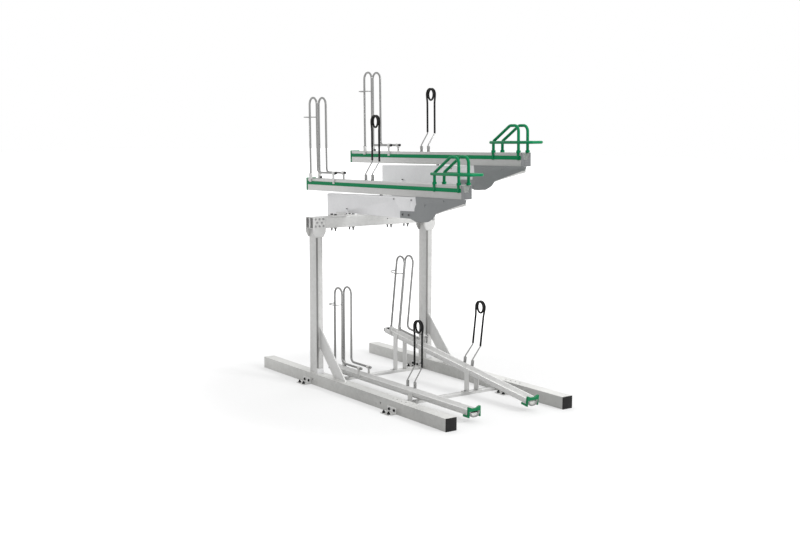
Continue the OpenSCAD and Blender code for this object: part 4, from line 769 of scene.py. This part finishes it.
def band(outer, inner, s, thick, edge, place):
    """A flat band between two outlines of equal length, its front edges turned by edge."""
    n = len(outer)
    verts = []
    for at, pull in ((s + thick, 0), (s + edge, 0), (s, edge)):
        for line, other in ((outer, inner), (inner, outer)):
            for a, b in zip(line, other):
                way = (Vector(b) - Vector(a)).normalized() * pull
                verts.append(place @ (Vector((a[0] + way[0], at, a[1] + way[1])) * MM))
    faces = []
    for k in range(n - 1):
        for ring in (0, 1):
            a = ring * 2 * n + k
            faces += [(a, a + 1, a + 1 + 2 * n, a + 2 * n), (a + n + 1, a + n, a + 3 * n, a + 3 * n + 1)]
        faces += [(4 * n + k, 4 * n + k + 1, 5 * n + k + 1, 5 * n + k), (k + 1, k, n + k, n + k + 1)]
    for k in (0, n - 1):
        ends = [(k, k + n, k + 3 * n, k + 2 * n), (k + 2 * n, k + 3 * n, k + 5 * n, k + 4 * n)]
        faces += ends if k else [tuple(reversed(e)) for e in ends]
    return verts, faces


# Front ends of the lower trays: a rim, and a plate set back in it. Each bow is (half, low, high, round).
RIM_OUTER, RIM_INNER, RIM_S = (41.8, 0.2, 39.5, 34), (31.2, 9.8, 39.5, 26), -17.6
BACK_PLATE, BACK_PLATE_S = (30.5, 10.5, 27.5, 25.5), -6.0
for side, tag in SIDES:
    L = low_lane(side)
    rim = band(bow(*RIM_OUTER), bow(*RIM_INNER), RIM_S, thick=1.7, edge=0.8, place=L)
    add_mesh(tag + "_low_rim_fine", *rim, RIM_GREY_AND_SHADE_STRIP, "frame", "galvanised", False)
    back_plate = plate(list(reversed(bow(*BACK_PLATE))), BACK_PLATE_S, thick=1.6, edge=0.6, place=L)
    add_mesh(tag + "_low_end_plate", *back_plate, PALE, "frame", "galvanised", False)

# Weld beads: the posts' feet, the braces' two ends and the boxes' carriers on the clamps
POST_WELD, BRACE_WELD, BOX_WELD = 3.2, 2.8, 2.4
BRACE_HALF = 5
BRACE_FOOT, BRACE_HEAD = (47, 197), (288, 438)
INSET = 2
beads = []
for side in (NEAR, FAR):
    x = side * RAIL_X
    for i in (-1, 1):
        beads.append(bead((x + i * POST_HALF, POST_FRONT + INSET, RAIL_TOP),
                          (x + i * POST_HALF, POST_REAR - INSET, RAIL_TOP), POST_WELD))
        beads.append(bead(*[(x + i * BRACE_HALF, y, RAIL_TOP) for y in BRACE_FOOT], BRACE_WELD))
        beads.append(bead(*[(x + i * BRACE_HALF, POST_FRONT, z) for z in BRACE_HEAD], BRACE_WELD))
    beads.append(bead((x - POST_HALF + INSET, POST_REAR, RAIL_TOP),
                      (x + POST_HALF - INSET, POST_REAR, RAIL_TOP), POST_WELD))
    x = side * LANE_X
    for edge in (BOX_NEAR, BOX_FAR):
        beads.append(bead((x + edge, POST_FRONT + INSET, CLAMP_TOP),
                          (x + edge, POST_REAR - INSET, CLAMP_TOP), BOX_WELD))
    for y in (POST_FRONT, POST_REAR):
        beads.append(bead((x + BOX_NEAR + INSET, y, CLAMP_TOP), (x + BOX_FAR - INSET, y, CLAMP_TOP),
                          BOX_WELD))
add_mesh("frame_welds", *joined(beads), ZINC, "frame", "galvanised")

# Rings of weld where a lock loop meets the hoop's two tubes
HOOP_X, HOOP_SPAN, LOOP_N, LOW_LOOP_N = -40, 102, 464, 490
LOOP_WELD = [(3.6, 6.6), (5.8, 7.6), (5.2, 9.6), (4.1, 10.8)]
for side, tag in SIDES:
    for name, place, s_at, n_at, body in (
            (tag + "_loop_welds", lane(side), HOOP_S, LIP + LOOP_N, tag + "_tray"),
            (tag + "_low_loop_welds", low_lane(side), LOW_HOOP_S, LOW_LIP + LOW_LOOP_N, "frame")):
        rings = [put(lathe(LOOP_WELD, 18), (HOOP_X, at, n_at), (-1, 0, 0), place)
                 for at in (s_at, s_at - HOOP_SPAN)]
        add_mesh(name, *joined(rings), ZINC_TUBE, body, "galvanised")


# Stage: a pale floor that glows white only where it is seen, and fades to white away from the rack
def seen_rays(t):
    """The outputs that tell a ray of the camera, of a reflection and of a clear surface."""
    rays = node(t, "ShaderNodeLightPath")
    return [rays.outputs[n] for n in ("Is Camera Ray", "Is Glossy Ray", "Is Transmission Ray")]


floor_mat, t, s = new_material("stage_floor")
s.inputs["Base Color"].default_value = (0.5, 0.5, 0.5, 1)
s.inputs["Roughness"].default_value = 0.9
s.inputs["Specular IOR Level"].default_value = 0.0
camera_ray, glossy_ray, clear_ray = seen_rays(t)
seen = arith(t, "MINIMUM", arith(t, "ADD", arith(t, "ADD", camera_ray, glossy_ray), clear_ray), 1.0)
reach = node(t, "ShaderNodeVectorMath", operation="LENGTH")
t.links.new(node(t, "ShaderNodeNewGeometry").outputs["Position"], reach.inputs[0])
fade = map_range(t, reach.outputs["Value"], from_min=1.2, from_max=3.0, to_min=0.4, to_max=1.0,
                 interpolation_type="SMOOTHSTEP")
glow = node(t, "ShaderNodeEmission")
t.links.new(arith(t, "MULTIPLY", seen, fade), glow.inputs["Strength"])
both = node(t, "ShaderNodeAddShader")
t.links.new(s.outputs["BSDF"], both.inputs[0])
t.links.new(glow.outputs["Emission"], both.inputs[1])
t.links.new(both.outputs["Shader"], t.nodes["Material Output"].inputs["Surface"])

mesh = bpy.data.meshes.new("floor")
mesh.from_pydata([(-40, -40, 0), (40, -40, 0), (40, 60, 0), (-40, 60, 0)], [], [(0, 1, 2, 3)])
mesh.materials.append(floor_mat)
floor = bpy.data.objects.new("floor", mesh)
bpy.context.scene.collection.objects.link(floor)

# World: white where it is seen, and a soft sky that is darker near the horizon for the light it gives
world = bpy.data.worlds.new("studio")
bpy.context.scene.world = world
world.use_nodes = True
t = world.node_tree
back = t.nodes["Background"]
back.inputs["Color"].default_value = (1, 1, 1, 1)
split = node(t, "ShaderNodeSeparateXYZ")
t.links.new(node(t, "ShaderNodeTexCoord").outputs["Generated"], split.inputs["Vector"])
sky = map_range(t, split.outputs["Z"], from_min=-0.05, from_max=0.9, to_min=0.42, to_max=1.1,
                interpolation_type="SMOOTHSTEP")
camera_ray, glossy_ray, clear_ray = seen_rays(t)
seen = arith(t, "MAXIMUM", arith(t, "MAXIMUM", camera_ray, glossy_ray), clear_ray)
t.links.new(arith(t, "MAXIMUM", seen, sky), back.inputs["Strength"])


def lamp(name, at, aim, size, watts):
    data = bpy.data.lights.new(name, "AREA")
    data.shape = "RECTANGLE"
    data.size, data.size_y = size
    data.energy = watts
    o = bpy.data.objects.new(name, data)
    o.location = at
    o.rotation_euler = (Vector(aim) - Vector(at)).to_track_quat("-Z", "Y").to_euler()
    bpy.context.scene.collection.objects.link(o)


lamp("key", (3.6, -9.2, 6.6), (0, 0, 0.9), (2.6, 2.6), 520)
lamp("rim", (5.0, 3.5, 5.0), (0, 0, 1.0), (3.0, 4.0), 60)

# Camera, solved from the straight edges of the rack in the photo
CAMERA_AT = (-4.889, -6.787, 1.954)
SENSOR, LENS = 36.0, 52.16
yaw, pitch, roll = radians(35.417), radians(7.261), 0.0016
scene = bpy.context.scene
scene.view_settings.view_transform = "Standard"
cam_data = bpy.data.cameras.new("camera")
cam = bpy.data.objects.new("camera", cam_data)
scene.collection.objects.link(cam)
cam_data.sensor_width = SENSOR
cam_data.lens = LENS
cam_data.clip_end = 200
ahead = Vector((sin(yaw) * cos(pitch), cos(yaw) * cos(pitch), -sin(pitch)))
right = Vector((cos(yaw), -sin(yaw), 0))
over = right.cross(ahead)
right, over = right * cos(roll) + over * sin(roll), over * cos(roll) - right * sin(roll)
turn = Matrix((right, over, -ahead)).transposed().to_4x4()
cam.matrix_world = Matrix.Translation(CAMERA_AT) @ turn
scene.camera = cam
